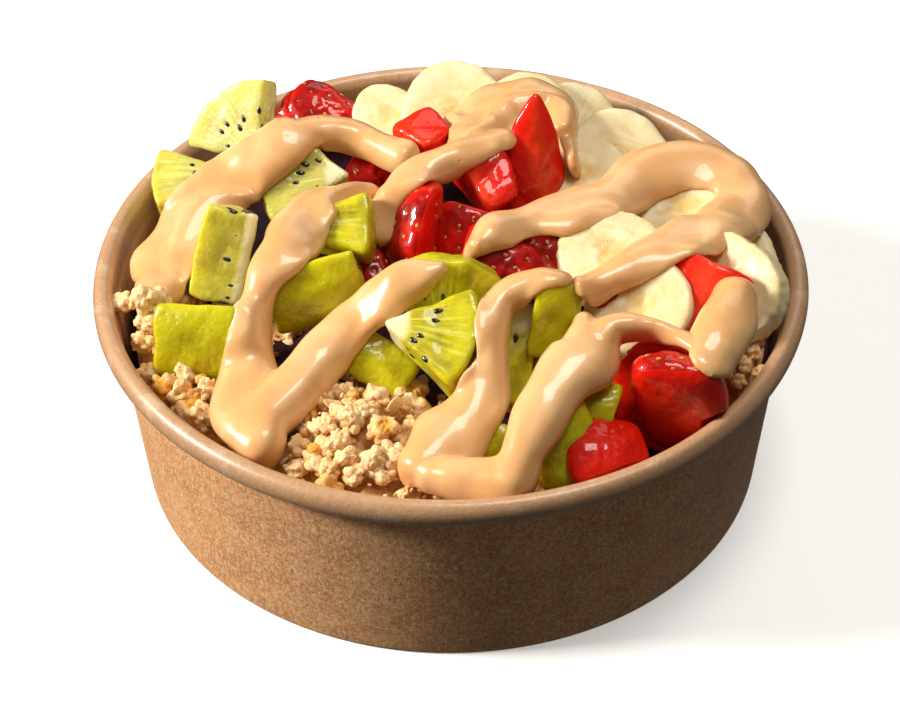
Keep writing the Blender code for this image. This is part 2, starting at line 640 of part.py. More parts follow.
def puree_body(grow=0.0):
    """The puree: it fills the bowl up to a low dome."""
    low = BOTTOM_HEIGHT + BOTTOM_PAPER + GAP
    low_radius = wall_inside(low) - WALL_GAP
    points = [(0.0, low), (low_radius, low), (wall_inside(BASE_EDGE_HEIGHT) - WALL_GAP, BASE_EDGE_HEIGHT + grow)]
    for share in (0.75, 0.5, 0.25):
        points.append((66.0 * share, base_top(66.0 * share, 0.0) + grow))
    points.append((0.0, base_top(0.0, 0.0) + grow))
    return turned_body(points, PUREE_COLUMNS)


def granola_body(name, grow=0.0):
    """A bank of granola between two directions: a lumpy top over the puree, closed round its edges."""
    start, finish, inner, columns = GRANOLA_BANKS[name]
    rows = GRANOLA_ROWS
    bm = bmesh.new()
    tops, lows = [], []
    for k in range(columns + 1):
        turn = math.radians(start + (finish - start) * k / columns)
        end_share = math.sin(math.pi * (0.08 + 0.84 * k / columns)) ** 0.35
        outer = wall_inside(BOWL_HEIGHT - RIM_TALL - 2.0) - WALL_GAP - 0.5 + 0.5 * math.sin(7.3 * turn)
        reach_in = outer - (outer - inner) * end_share
        top_row, low_row = [], []
        for m in range(rows + 1):
            radius = reach_in + (outer - reach_in) * m / rows
            x, y = radius * math.cos(turn), radius * math.sin(turn)
            edge = min(1.0, 0.55 + 2.5 * m / rows, 0.72 + 1.6 * (1 - m / rows)) * end_share
            floor = base_top(x, y) + 2 * GAP
            height = floor + max((granola_top(x, y) - floor) * edge, GRANOLA_THIN) + 1.8 * grow
            top_row.append(bm.verts.new((x, y, height)))
            low_row.append(bm.verts.new((x, y, floor - grow)))
        tops.append(top_row)
        lows.append(low_row)
    for k in range(columns):
        for m in range(rows):
            bm.faces.new((tops[k][m], tops[k + 1][m], tops[k + 1][m + 1], tops[k][m + 1]))
            bm.faces.new((lows[k][m + 1], lows[k + 1][m + 1], lows[k + 1][m], lows[k][m]))
        bm.faces.new((tops[k][rows], tops[k + 1][rows], lows[k + 1][rows], lows[k][rows]))
        bm.faces.new((tops[k + 1][0], tops[k][0], lows[k][0], lows[k + 1][0]))
    for m in range(rows):
        bm.faces.new((tops[0][m], tops[0][m + 1], lows[0][m + 1], lows[0][m]))
        bm.faces.new((tops[columns][m + 1], tops[columns][m], lows[columns][m], lows[columns][m + 1]))
    return bm


for old in list(bpy.data.objects):
    bpy.data.objects.remove(old)

# The paper bowl: wall with foot and rolled rim, and the disc pressed into the foot.
bowl_wall = add_object("bowl_wall", turned_ring(wall_points(), BOWL_COLUMNS), "kraft_paper")
disc_radius = wall_inside(BOTTOM_HEIGHT) - GAP - 0.6
bowl_bottom = add_object(
    "bowl_bottom",
    turned_body([(0.0, BOTTOM_HEIGHT), (disc_radius, BOTTOM_HEIGHT),
                 (disc_radius, BOTTOM_HEIGHT + BOTTOM_PAPER), (0.0, BOTTOM_HEIGHT + BOTTOM_PAPER)],
                BOWL_COLUMNS),
    "kraft_paper",
)

# Everything laid in the bowl, before anything is trimmed.
puree = add_object("acai_puree", puree_body(), "acai_puree")
banks = {name: add_object(name, granola_body(name), "oat_granola") for name in GRANOLA_BANKS}
toppings = {name: add_object(name, topping(name), slot_of(name)) for name in LAYERS}
sauces = {name: sauce_body(name) for name in SAUCE_PIECES}

# Slightly larger copies of them, used only to cut the gaps.
cutters = {name: add_object(name + "_cutter", topping(name, GAP), slot_of(name)) for name in LAYERS}
ring_cutter = add_object("wall_cutter", wall_cutter(), "kraft_paper")
puree_cutter = add_object("puree_cutter", puree_body(GAP), "acai_puree")
bank_cutters = {}
for name in GRANOLA_BANKS:
    bank_cutters[name] = add_object(name + "_cutter", granola_body(name, GAP), "oat_granola")
sauce_cutters = {name: sauce_body(name, GAP) for name in SAUCE_PIECES}

# Each fruit gives way to the fruits laid after it, to the paper and to the puree.
for index, name in enumerate(LAYERS):
    for later in LAYERS[index + 1:]:
        if boxes_meet(toppings[name], cutters[later]):
            subtract(toppings[name], cutters[later])
    subtract(toppings[name], ring_cutter)
    if boxes_meet(toppings[name], puree_cutter):
        subtract(toppings[name], puree_cutter)
    keep_largest(toppings[name])

# The granola gives way to the fruit, the poured nut butter to everything under it.
for bank in banks.values():
    for name in LAYERS:
        if boxes_meet(bank, cutters[name]):
            subtract(bank, cutters[name])
    keep_largest(bank)
sauce_names = list(SAUCE_PIECES)
for index, name in enumerate(sauce_names):
    for later in sauce_names[index + 1:]:
        if boxes_meet(sauces[name], sauce_cutters[later]):
            subtract(sauces[name], sauce_cutters[later])
    for cutter in [ring_cutter] + list(bank_cutters.values()) + list(cutters.values()):
        if boxes_meet(sauces[name], cutter):
            subtract(sauces[name], cutter)
    keep_largest(sauces[name])

# The cutters have done their work.
for cutter in list(cutters.values()) + list(bank_cutters.values()) + list(sauce_cutters.values()):
    bpy.data.objects.remove(cutter)
bpy.data.objects.remove(ring_cutter)
bpy.data.objects.remove(puree_cutter)
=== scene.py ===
import math

import bmesh
import bpy
import numpy as np
from mathutils import Matrix, Vector


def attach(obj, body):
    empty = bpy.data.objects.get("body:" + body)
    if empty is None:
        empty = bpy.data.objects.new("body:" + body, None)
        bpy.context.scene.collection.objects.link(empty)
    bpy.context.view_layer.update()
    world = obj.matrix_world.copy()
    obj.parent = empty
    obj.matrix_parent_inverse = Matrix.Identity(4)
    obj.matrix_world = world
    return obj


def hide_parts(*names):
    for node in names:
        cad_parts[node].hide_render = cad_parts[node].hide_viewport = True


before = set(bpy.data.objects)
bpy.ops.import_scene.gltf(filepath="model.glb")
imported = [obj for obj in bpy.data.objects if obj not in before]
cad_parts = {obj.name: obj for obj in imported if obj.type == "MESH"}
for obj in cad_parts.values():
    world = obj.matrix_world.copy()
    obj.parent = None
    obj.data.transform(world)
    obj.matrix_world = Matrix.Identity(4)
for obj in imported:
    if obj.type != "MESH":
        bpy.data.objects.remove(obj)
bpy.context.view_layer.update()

MM = 0.001

# ---------------------------------------------------------------------------------------------------
# Paper wall
# The bowl's wall is one sheet of brown kraft board, coated inside, wrapped to a cone and lapped at the
# back.  Its upper edge is rolled outwards into a bead; its lower edge is folded in round the bottom disc.
# ---------------------------------------------------------------------------------------------------
RIM_RADIUS = 75.0
BOWL_HEIGHT = 48.0
FOOT_RADIUS = 67.5
NECK_RADIUS = 70.9
PAPER = 0.8
FOOT_PAPER = 1.4
FOOT_FOLD_HEIGHT = 6.0
RIM_WIDTH = 4.3
RIM_TALL = 5.5
WALL_COLUMNS = 288
LAP_TURN = math.radians(72)
LAP_STEP = 0.35
KRAFT_MIDDLE = (0.86, 0.43, 0.185)
KRAFT_PALE = (1.0, 0.68, 0.38)
KRAFT_DARK = (0.46, 0.17, 0.055)


class Reading:
    """A number read from a socket; each sign written with it adds one Math node."""

    def __init__(self, finish, socket):
        self.finish = finish
        self.socket = socket

    def reckon(self, operation, *others, clamp=False):
        return self.finish.number("ShaderNodeMath", {"operation": operation, "use_clamp": clamp},
                                  dict(enumerate((self,) + others)))

    def __add__(self, other):
        return self.reckon("ADD", other)

    __radd__ = __add__

    def __sub__(self, other):
        return self.reckon("SUBTRACT", other)

    def __rsub__(self, other):
        return (self * -1.0) + other

    def __mul__(self, other):
        return self.reckon("MULTIPLY", other)

    __rmul__ = __mul__

    def __truediv__(self, other):
        return self.reckon("DIVIDE", other)

    def __pow__(self, other):
        return self.reckon("POWER", other)

    def between(self, low, high):
        """Nought below low, one above high, and a smooth step from one to the other."""
        return self.finish.number("ShaderNodeMapRange", {"interpolation_type": "SMOOTHSTEP"},
                                  {"Value": self, "From Min": low, "From Max": high})


class Finish:
    """A material in the making, with the Principled shader's fixed numbers set on its own sockets."""

    def __init__(self, name, **fixed):
        self.material = bpy.data.materials.new(name)
        self.material.use_nodes = True
        self.tree = self.material.node_tree
        self.shader = self.tree.nodes["Principled BSDF"]
        for socket, value in fixed.items():
            self.shader.inputs[socket.replace("_", " ")].default_value = value

    def node(self, kind, settings=None, inputs=None):
        """Make any node: its settings first, then the values or links of its sockets."""
        made = self.tree.nodes.new(kind)
        for key, value in (settings or {}).items():
            if key == "stops":
                ramp = made.color_ramp
                while len(ramp.elements) < len(value):
                    ramp.elements.new(1.0)
                for element, (place, colour) in zip(ramp.elements, value):
                    element.position = place
                    element.color = (*colour, 1.0)
            else:
                setattr(made, key, value)
        for key, value in (inputs or {}).items():
            self.feed(made.inputs[key], value)
        return made

    def feed(self, socket, value):
        """Set a socket to a fixed value, or link it."""
        if isinstance(value, Reading):
            value = value.socket
        if isinstance(value, bpy.types.NodeSocket):
            self.tree.links.new(value, socket)
        elif isinstance(value, (tuple, list)) and len(socket.default_value) == 4 and len(value) == 3:
            socket.default_value = (*value, 1.0)
        else:
            socket.default_value = value

    def number(self, kind, settings=None, inputs=None, output=0):
        """A node whose output is a number to reckon with."""
        return Reading(self, self.node(kind, settings, inputs).outputs[output])

    def place(self):
        """The point of the object, in its own metres."""
        return self.node("ShaderNodeTexCoord").outputs["Object"]

    def noise(self, scale, detail=2.0, rough=0.5, vector=None, distortion=0.0):
        """Soft noise of a scale in turns per metre, read at the object's point unless another is given."""
        return self.number("ShaderNodeTexNoise", None, {
            "Vector": self.place() if vector is None else vector, "Scale": scale, "Detail": detail,
            "Roughness": rough, "Distortion": distortion})

    def cells(self, scale, vector=None, feature="F1", randomness=1.0):
        """Distance to the nearest of scattered points."""
        return self.number("ShaderNodeTexVoronoi", {"feature": feature}, {
            "Vector": self.place() if vector is None else vector, "Scale": scale,
            "Randomness": randomness})

    def stretched(self, vector, factors):
        """A vector with each part multiplied."""
        return self.node("ShaderNodeVectorMath", {"operation": "MULTIPLY"},
                         {0: vector, 1: factors}).outputs[0]

    def attribute(self, name):
        """A number stored on the mesh."""
        return self.number("ShaderNodeAttribute", {"attribute_name": name}, output=2)

    def attribute_vector(self, name):
        """A point stored on the mesh."""
        return self.node("ShaderNodeAttribute", {"attribute_name": name}).outputs["Vector"]

    def blend(self, factor, one, two, mode="MIX"):
        """A colour between two, by a factor."""
        made = self.node("ShaderNodeMix", {"data_type": "RGBA", "blend_type": mode, "clamp_factor": True},
                         {0: factor, 6: one, 7: two})
        return made.outputs[2]

    def wear(self, colour=None, roughness=None, height=None, strength=0.3, distance=0.0005, coat=None):
        """Feed the shader what varies over the surface; height goes through one Bump node."""
        if colour is not None:
            self.feed(self.shader.inputs["Base Color"], colour)
        if roughness is not None:
            self.feed(self.shader.inputs["Roughness"], roughness)
        if coat is not None:
            self.feed(self.shader.inputs["Coat Weight"], coat)
        if height is not None:
            bump = self.node("ShaderNodeBump", None,
                             {"Height": height, "Strength": strength, "Distance": distance})
            self.feed(self.shader.inputs["Normal"], bump.outputs[0])
        return self.material


def mesh_piece(name, points, faces, material, nodes, values=None):
    """Put points in millimetres and faces into a smooth mesh object that rides with the bowl."""
    mesh = bpy.data.meshes.new(name)
    mesh.from_pydata(np.asarray(points) * MM, [], np.asarray(faces).tolist())
    mesh.polygons.foreach_set("use_smooth", np.ones(len(mesh.polygons), dtype=bool))
    for key, row in (values or {}).items():
        row = np.asarray(row, dtype=float)
        kind = "FLOAT" if row.ndim == 1 else "FLOAT_VECTOR"
        layer = mesh.attributes.new(key, kind, "POINT")
        layer.data.foreach_set("value" if row.ndim == 1 else "vector", row.ravel())
    mesh.materials.append(material)
    mesh.update()
    piece = bpy.data.objects.new(name, mesh)
    bpy.context.scene.collection.objects.link(piece)
    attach(piece, "root")
    if nodes:
        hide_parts(*nodes)
    return piece


def ring_faces(rows, columns, joined_rows=False):
    """The quads of a grid of rows that each close on themselves; the last row may join the first."""
    row = np.arange(rows if joined_rows else rows - 1)[:, None]
    column = np.arange(columns)[None, :]
    after = (row + 1) % rows
    beside = (column + 1) % columns
    return np.stack([row * columns + column, row * columns + beside,
                     after * columns + beside, after * columns + column], axis=-1).reshape(-1, 4)


def arc(middle, half_wide, half_tall, start, finish, count):
    """Points of an oval arc between two turns in degrees, as (radius, height) rows."""
    turn = np.radians(np.linspace(start, finish, count))
    return np.column_stack([middle[0] + half_wide * np.cos(turn), middle[1] + half_tall * np.sin(turn)])


def wall_section():
    """The closed section of the wall, from the foot up outside, over the rolled bead and down inside."""
    slope = (NECK_RADIUS - FOOT_RADIUS) / (BOWL_HEIGHT - RIM_TALL)
    bead = (RIM_RADIUS - RIM_WIDTH / 2, BOWL_HEIGHT - RIM_TALL / 2)
    heights = np.linspace(0.8, BOWL_HEIGHT - RIM_TALL - 0.4, 28)
    outside = np.column_stack([FOOT_RADIUS + slope * heights, heights])
    heights = np.linspace(BOWL_HEIGHT - RIM_TALL - 1.0, FOOT_FOLD_HEIGHT + 0.6, 24)
    inside = np.column_stack([FOOT_RADIUS - PAPER + slope * heights, heights])
    heights = np.linspace(FOOT_FOLD_HEIGHT, 0.5, 6)
    fold = np.column_stack([FOOT_RADIUS - FOOT_PAPER + slope * heights, heights])
    foot = arc((FOOT_RADIUS - FOOT_PAPER / 2, 0.5), FOOT_PAPER / 2, 0.5, 190, 350, 7)
    return np.vstack([
        outside,
        arc(bead, RIM_WIDTH / 2, RIM_TALL / 2, -78, 180, 34),
        inside, fold, foot])


def paper_wall():
    """The section turned about z; past the lap the sheet stands one paper thickness proud and fades."""
    section = wall_section()
    turn = 2 * np.pi * np.arange(WALL_COLUMNS) / WALL_COLUMNS
    past_lap = np.mod(turn - LAP_TURN, 2 * np.pi)
    lap = LAP_STEP * np.exp(-past_lap / 0.16)
    wave = 0.10 * np.sin(3 * turn + 0.6) + 0.06 * np.sin(7 * turn + 2.0)
    outer = section[:, 0] > np.interp(section[:, 1], [0, BOWL_HEIGHT - RIM_TALL],
                                      [FOOT_RADIUS - 0.3, NECK_RADIUS - 0.3])
    share = np.clip(section[:, 1] / BOWL_HEIGHT, 0, 1)[:, None]
    radius = section[:, 0][:, None] + (outer[:, None] * lap[None, :] * 0.6) - 0.16 + wave[None, :] * share
    height = np.repeat(section[:, 1][:, None], WALL_COLUMNS, axis=1)
    height = height - 0.12 * share * (1 - np.cos(2 * turn + 1.0))[None, :] * 0.5
    points = np.stack([radius * np.cos(turn), radius * np.sin(turn), height], axis=-1).reshape(-1, 3)
    faces = ring_faces(len(section), WALL_COLUMNS, joined_rows=True)
    return points, faces


def kraft_finish(name):
    """Brown board: short fibres lying every way, pale and dark flecks, a faint wax shine."""
    finish = Finish(name, Roughness=0.55, Specular_IOR_Level=0.4, Coat_Roughness=0.28)
    place = finish.place()
    cloudy = finish.noise(110, 4, 0.65)
    fibres = [finish.noise(2300 + 300 * index, 3, 0.6, finish.stretched(place, turned), 0.5)
              for index, turned in enumerate(((1.0, 0.36, 0.42), (0.38, 1.0, 0.34), (0.40, 0.38, 1.0)))]
    raised = fibres[0].reckon("MAXIMUM", fibres[1]).reckon("MAXIMUM", fibres[2])
    sunk = fibres[0].reckon("MINIMUM", fibres[1]).reckon("MINIMUM", fibres[2])
    pale = raised.between(0.56, 0.64)
    dark = 1.0 - sunk.between(0.36, 0.44)
    flecks = 1.0 - finish.cells(520, finish.stretched(place, (1.0, 1.0, 0.6))).between(0.06, 0.16)
    chance = finish.noise(420, 1, 0.5).between(0.60, 0.66)
    colour = finish.blend(cloudy.between(0.38, 0.66) * 0.45, KRAFT_MIDDLE, KRAFT_DARK)
    colour = finish.blend(dark * 0.6, colour, KRAFT_DARK)
    colour = finish.blend(pale * 0.8, colour, KRAFT_PALE)
    colour = finish.blend(flecks * chance * 0.85, colour, (0.13, 0.055, 0.02))
    parts = finish.node("ShaderNodeSeparateXYZ", None, {0: place})
    x, y, z = (Reading(finish, parts.outputs[k]) for k in range(3))
    bead = z.between(0.0415, 0.0435)
    inner = 1.0 - (x * x + y * y).reckon("SQRT").between(0.0698, 0.0706)
    colour = finish.blend(bead * 0.8, colour, (0.46, 0.27, 0.145))
    colour = finish.blend(bead * cloudy.between(0.50, 0.66) * 0.5, colour, (0.72, 0.52, 0.35))
    return finish.wear(colour, 0.44 + raised * 0.3 - bead * 0.2, raised + sunk + cloudy * 0.3, 0.25, 0.0003,
                       coat=bead * 0.55 + inner * 0.4 + 0.05)


kraft = kraft_finish("kraft_board")
wall_points_made, wall_faces = paper_wall()
wall = mesh_piece("paper_wall", wall_points_made, wall_faces, kraft, ["bowl_wall"])

# ---------------------------------------------------------------------------------------------------
# Bottom disc
# A flat disc of the same board, pressed into the folded foot a little above the table.  Its edge is
# bent down where the fold grips it.
# ---------------------------------------------------------------------------------------------------
BOTTOM_HEIGHT = 6.5
BOTTOM_PAPER = 0.8
GAP = 0.4


def disc_section():
    """From the middle of the under face out to the rounded edge and back over the upper face."""
    slope = (NECK_RADIUS - FOOT_RADIUS) / (BOWL_HEIGHT - RIM_TALL)
    reach = FOOT_RADIUS - FOOT_PAPER + slope * BOTTOM_HEIGHT - 0.45
    under = np.column_stack([np.linspace(0.5, reach - 0.6, 16), np.full(16, BOTTOM_HEIGHT)])
    edge = arc((reach - 0.4, BOTTOM_HEIGHT + BOTTOM_PAPER / 2), 0.4, BOTTOM_PAPER / 2, -70, 70, 6)
    over = under[::-1] + np.array([0.0, BOTTOM_PAPER])
    section = np.vstack([under, edge, over])
    section[:, 1] += 0.25 * np.cos(section[:, 0] / reach * np.pi) * (section[:, 0] < reach - 2) - 0.0
    return section


def turned_skin(section, columns):
    """A section turned about z, with its two ends closed on the axis by one point each."""
    turn = 2 * np.pi * np.arange(columns) / columns
    radius, height = section[:, 0][:, None], section[:, 1][:, None] + 0 * turn
    points = np.stack([radius * np.cos(turn), radius * np.sin(turn), height], axis=-1).reshape(-1, 3)
    faces = ring_faces(len(section), columns).tolist()
    low, high = len(points), len(points) + 1
    last = (len(section) - 1) * columns
    faces += [[(k + 1) % columns, k, low] for k in range(columns)]
    faces += [[last + k, last + (k + 1) % columns, high] for k in range(columns)]
    points = np.vstack([points, [0, 0, section[0, 1]], [0, 0, section[-1, 1]]])
    return points, faces


def poly_piece(name, points, faces, material, nodes, values=None):
    """As mesh_piece, for faces of mixed length."""
    mesh = bpy.data.meshes.new(name)
    mesh.from_pydata(np.asarray(points) * MM, [], faces)
    mesh.polygons.foreach_set("use_smooth", np.ones(len(mesh.polygons), dtype=bool))
    mesh.materials.append(material)
    mesh.update()
    piece = bpy.data.objects.new(name, mesh)
    bpy.context.scene.collection.objects.link(piece)
    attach(piece, "root")
    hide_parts(*nodes)
    return piece


disc_points, disc_faces = turned_skin(disc_section(), 144)
poly_piece("paper_bottom", disc_points, disc_faces, kraft, ["bowl_bottom"])

# ---------------------------------------------------------------------------------------------------
# Acai puree
# Frozen berries blended to a thick dark purple cream and spooned in first.  It shows only in the gaps
# between the toppings, as a soft uneven surface that has begun to melt.  Its colour is darkened almost
# to black as painted shade, so the gaps read as shadow.
# ---------------------------------------------------------------------------------------------------
PUREE_EDGE = 34.0
PUREE_CROWN = 7.0
PUREE_LOW = 7.7
# Painted shade: the dark purple of the cream is taken down almost to black, standing in for the shadow in the
# gaps.
PUREE_DARK_PAINTED_SHADE = (0.020, 0.003, 0.008)
PUREE_PALER_PAINTED_SHADE = (0.050, 0.007, 0.018)


def ripple(points, size, seed, waves=9):
    """Smooth noise of about one: a mean of sines whose ways and starts are drawn from the seed."""
    draw = np.random.default_rng(seed)
    ways = draw.normal(size=(waves, 3))
    ways *= (draw.uniform(0.7, 1.5, waves) / np.linalg.norm(ways, axis=1))[:, None]
    starts = draw.uniform(0, 2 * np.pi, waves)
    return np.sin(points @ ways.T * (2 * np.pi / size) + starts).sum(axis=-1) / math.sqrt(waves / 2)


def puree_height(x, y):
    """A low dome that carries the toppings."""
    return PUREE_EDGE + PUREE_CROWN * np.maximum(0.0, 1 - (x ** 2 + y ** 2) / 66.0 ** 2)


def puree_skin():
    """Dome rings with spooned ripples, a side that follows the wall, and a flat underside."""
    slope = (NECK_RADIUS - FOOT_RADIUS) / (BOWL_HEIGHT - RIM_TALL)
    inner = FOOT_RADIUS - FOOT_PAPER - 0.9
    rings = np.linspace(0.02, 1.0, 60)
    radius = np.concatenate([np.linspace(0.5, inner - 1, 8), (inner - 1) + np.array([0.6, 1.0]),
                             inner + slope * np.array([6.0, 14.0, 22.0]),
                             (inner + slope * PUREE_EDGE) * rings[::-1]])
    height = np.concatenate([np.full(8, PUREE_LOW + 0.4), PUREE_LOW + np.array([0.5, 0.9]),
                             np.array([14.0, 22.0, 30.0]),
                             puree_height((inner + slope * PUREE_EDGE) * rings[::-1], 0.0)])
    points, faces = turned_skin(np.column_stack([radius, height]), 160)
    top = points[:, 2] > 31
    points[top, 2] += 0.5 * ripple(points[top], 16, 3) + 0.2 * ripple(points[top], 6, 4) - 0.3
    return points, faces


puree_finish = Finish("acai_cream", Roughness=0.4, Specular_IOR_Level=0.3, Coat_Roughness=0.15)
puree_grain = puree_finish.noise(900, 4, 0.6)
puree_cloud = puree_finish.noise(140, 3, 0.5)
# painted shade: near-black cream colour in place of the shadow between the toppings
puree_colour_painted_shade = puree_finish.blend(puree_cloud.between(0.4, 0.7), PUREE_DARK_PAINTED_SHADE, PUREE_PALER_PAINTED_SHADE)
puree_material = puree_finish.wear(puree_colour_painted_shade, 0.35 + puree_grain * 0.35, puree_grain, 0.4, 0.0006)
puree_points, puree_faces = puree_skin()
poly_piece("acai_cream", puree_points, puree_faces, puree_material, ["acai_puree"])

# ---------------------------------------------------------------------------------------------------
# Granola
# Rolled oats and puffed grain baked with syrup into brittle lumps, strewn over the cream by the wall.
# A buried core fills the heap; over it lie baked clusters, puffed balls, loose flakes and crumbs.
# ---------------------------------------------------------------------------------------------------
GRANOLA_LEVEL = 37.5
GRANOLA_BANKS = {"granola_front": (166, 300, 31), "granola_right": (-42, -8, 54)}
OAT_PALE = (0.95, 0.66, 0.34)
# Toasted brown, also used as painted shade in the hollows of the clusters.
OAT_TOAST_AND_SHADE = (0.78, 0.41, 0.13)
OAT_HONEY = (0.80, 0.38, 0.045)

# Baked clusters seen whole: x, y, height, reach, and how toasted each is from 0 to 1.
CLUSTERS = [
    (-21, -26, 39.1, 2.5, 0.1), (-16, -30.6, 40.8, 3.2, 0.2),
    (-12.6, -34.6, 42.7, 3.2, 0.3), (-14.3, -44.2, 48.6, 2.7, 0.5),
    (-6.3, -30.2, 39.6, 2.5, 0.7), (-7, -42.8, 44.6, 3.2, 0.5),
    (-26.1, -31, 40, 2.5, 0.25), (-21.6, -38.6, 44.8, 2.7, 0.45),
    (-26.3, -40.6, 44.5, 2.9, 0.2), (-30.2, -44.3, 43.4, 2.7, 0.2),
    (-23.5, -50.3, 47.2, 2.5, 0.35), (-19.2, -50.4, 48.5, 2.9, 0.3),
    (-21.5, -53.5, 46.2, 2.3, 0.3), (-13.4, -51.7, 47.5, 3.2, 0.85),
    (-16.5, -48.5, 49.3, 2.5, 0.4), (-29.4, -52.3, 43, 2.7, 0.6),
    (-25.9, -49.7, 45.9, 2.3, 0.4), (-15.3, -57.6, 44.1, 3.2, 0.1),
    (-11.5, -56.3, 44.5, 3.4, 0.15), (-13.1, -59.1, 42.4, 2.9, 0.3),
    (-19.2, -59.2, 42.5, 2.3, 0.35), (-23.4, -57.8, 42.8, 2.5, 0.55),
    (-26.6, -56.3, 42.8, 2.5, 0.35), (-30.5, -56.2, 41.4, 2.3, 0.3),
    (-6.2, -60.6, 40.5, 1.9, 0.5), (-3.1, -60.2, 40.1, 1.7, 0.6),
    (-9, -62.1, 40.4, 1.9, 0.6), (-20.7, -56.5, 44.2, 2.1, 0.3),
    (-10, -45.4, 46.5, 2.1, 0.8), (-8.5, -50, 45.3, 1.9, 0.7),
    (-67.7, -9.8, 45.3, 2.7, 0.1), (-62.5, -15.2, 50.2, 3.4, 0.15),
    (-59.8, -14.1, 49.8, 2.5, 0.2), (-62.1, -18.3, 46.9, 2.5, 0.3),
    (-63, -21, 43.8, 2.5, 0.5), (-60.9, -28.5, 41.7, 2.7, 0.4),
    (-57.4, -34.3, 43, 3.2, 0.9), (-53.9, -36.6, 43.9, 2.5, 0.7),
    (-53.1, -31.6, 44.4, 2.5, 0.15), (-55.7, -26.9, 42.4, 2.1, 0.3),
    (-48.6, -35.7, 43.7, 2.3, 0.3), (-48.8, -40.5, 42, 2.7, 0.35),
    (-50.6, -41.5, 41.4, 2.5, 0.5), (-46.3, -28.3, 41.4, 2.1, 0.2),
    (-56.3, -8.3, 43.9, 1.7, 0.6), (58.4, -30.2, 44, 2.3, 0.6),
    (60.6, -27.6, 45.3, 2.1, 0.5), (57.5, -33.7, 41.8, 2.3, 0.7),
    (62, -31.4, 43.2, 1.9, 0.6),
]


def granola_height(x, y):
    """The level of the bed plus four bell-shaped heaps."""
    heaps = ((-17, -47, 11.0, 260, 150), (-62, -12, 12.0, 60, 160), (-52, -34, 6.0, 80, 90),
             (60, -26, 7.0, 60, 90))
    level = GRANOLA_LEVEL + 0 * x
    for middle_x, middle_y, tall, wide_x, wide_y in heaps:
        level = level + tall * np.exp(-((x - middle_x) ** 2 / wide_x + (y - middle_y) ** 2 / wide_y))
    return level


def ball_grid(steps):
    """Ways out from a point: the six faces of a cube, evenly gridded and drawn onto a ball."""
    line = np.tan(np.linspace(-1, 1, steps + 1) * np.pi / 4)
    a, b = np.meshgrid(line, line, indexing="ij")
    one = np.ones_like(a)
    sides = ((one, a, b), (-one, b, a), (b, one, a), (a, -one, b), (a, b, one), (b, a, -one))
    ways = np.concatenate([np.stack(side, axis=-1).reshape(-1, 3) for side in sides])
    ways /= np.linalg.norm(ways, axis=1)[:, None]
    corner = np.arange((steps + 1) ** 2).reshape(steps + 1, steps + 1)
    quads = np.stack([corner[:-1, :-1], corner[1:, :-1], corner[1:, 1:], corner[:-1, 1:]],
                     axis=-1).reshape(-1, 4)
    quads = np.concatenate([quads + (steps + 1) ** 2 * side for side in range(6)])
    kept, place = np.unique(np.round(ways, 5), axis=0, return_index=True)[1], None
    joined = np.unique(np.round(ways, 5), axis=0, return_inverse=True)[1].reshape(-1)
    return ways[kept], joined[quads]


def random_turns(draw, count):
    """Turning matrices spread evenly over all ways round, from random quaternions."""
    quat = draw.normal(size=(count, 4))
    w, x, y, z = (quat / np.linalg.norm(quat, axis=1)[:, None]).T
    return np.stack([
        np.stack([1 - 2 * (y * y + z * z), 2 * (x * y - z * w), 2 * (x * z + y * w)], axis=-1),
        np.stack([2 * (x * y + z * w), 1 - 2 * (x * x + z * z), 2 * (y * z - x * w)], axis=-1),
        np.stack([2 * (x * z - y * w), 2 * (y * z + x * w), 1 - 2 * (x * x + y * y)], axis=-1)], axis=1)


def lumpy(ways, draw, knobs, core):
    """Reach along each way to a ball, or past it to the far side of any of the smaller balls set in it."""
    places = draw.normal(size=(knobs, 3))
    places /= np.linalg.norm(places, axis=1)[:, None]
    out, big = draw.uniform(0.5, 0.72, knobs), draw.uniform(0.24, 0.42, knobs)
    along = ways @ places.T
    left = big ** 2 - out ** 2 * (1 - along ** 2)
    reach = np.where((left > 0) & (along > 0), out * along + np.sqrt(np.maximum(left, 0)), 0)
    return np.maximum(core, reach.max(axis=1))


def scattered(name, shapes, faces, material, browned, nodes):
    """Join many placed copies, (count, corners, 3), into one piece with a value of toasting and painted hollow
    shade on each.
    """
    count, corners = shapes.shape[:2]
    every = (faces[None] + (np.arange(count) * corners)[:, None, None]).reshape(-1, faces.shape[1])
    return mesh_piece(name, shapes.reshape(-1, 3), every, material, nodes,
                      {"browned": np.broadcast_to(browned.reshape(count, -1), (count, corners)).ravel()})


def granola_core(bank):
    """A grid over the bank's sector that follows the heaps a little lower, closed by a flat floor."""
    start, finish, inner = GRANOLA_BANKS[bank]
    turn = np.radians(np.linspace(start + 3, finish - 3, 70))[:, None]
    outer = 67.0
    across = np.linspace(inner + 3, outer, 26)[None, :]
    x, y = across * np.cos(turn), across * np.sin(turn)
    top = granola_height(x, y) - 2.6 + 0.7 * ripple(np.stack([x, y, 0 * x], axis=-1), 5, 21)
    floor = puree_height(x, y) - 1.0
    edge = np.ones_like(top, dtype=bool)
    edge[1:-1, 1:-1] = False
    top = np.where(edge, floor + 0.3, np.maximum(top, floor + 0.6))
    upper = np.stack([x, y, top], axis=-1).reshape(-1, 3)
    lower = np.stack([x, y, floor], axis=-1).reshape(-1, 3)
    rows, columns = top.shape
    corner = np.arange(rows * columns).reshape(rows, columns)
    faces = np.stack([corner[:-1, :-1], corner[:-1, 1:], corner[1:, 1:], corner[1:, :-1]],
                     axis=-1).reshape(-1, 4)
    total = rows * columns
    rim = np.concatenate([corner[0, :-1], corner[:-1, -1], corner[-1, :0:-1], corner[:0:-1, 0]])
    beside = np.roll(rim, -1)
    skirt = np.stack([rim, rim + total, beside + total, beside], axis=-1)
    upwards = faces[:, ::-1]
    return np.vstack([upper, lower]), np.vstack([upwards, faces + total, skirt])


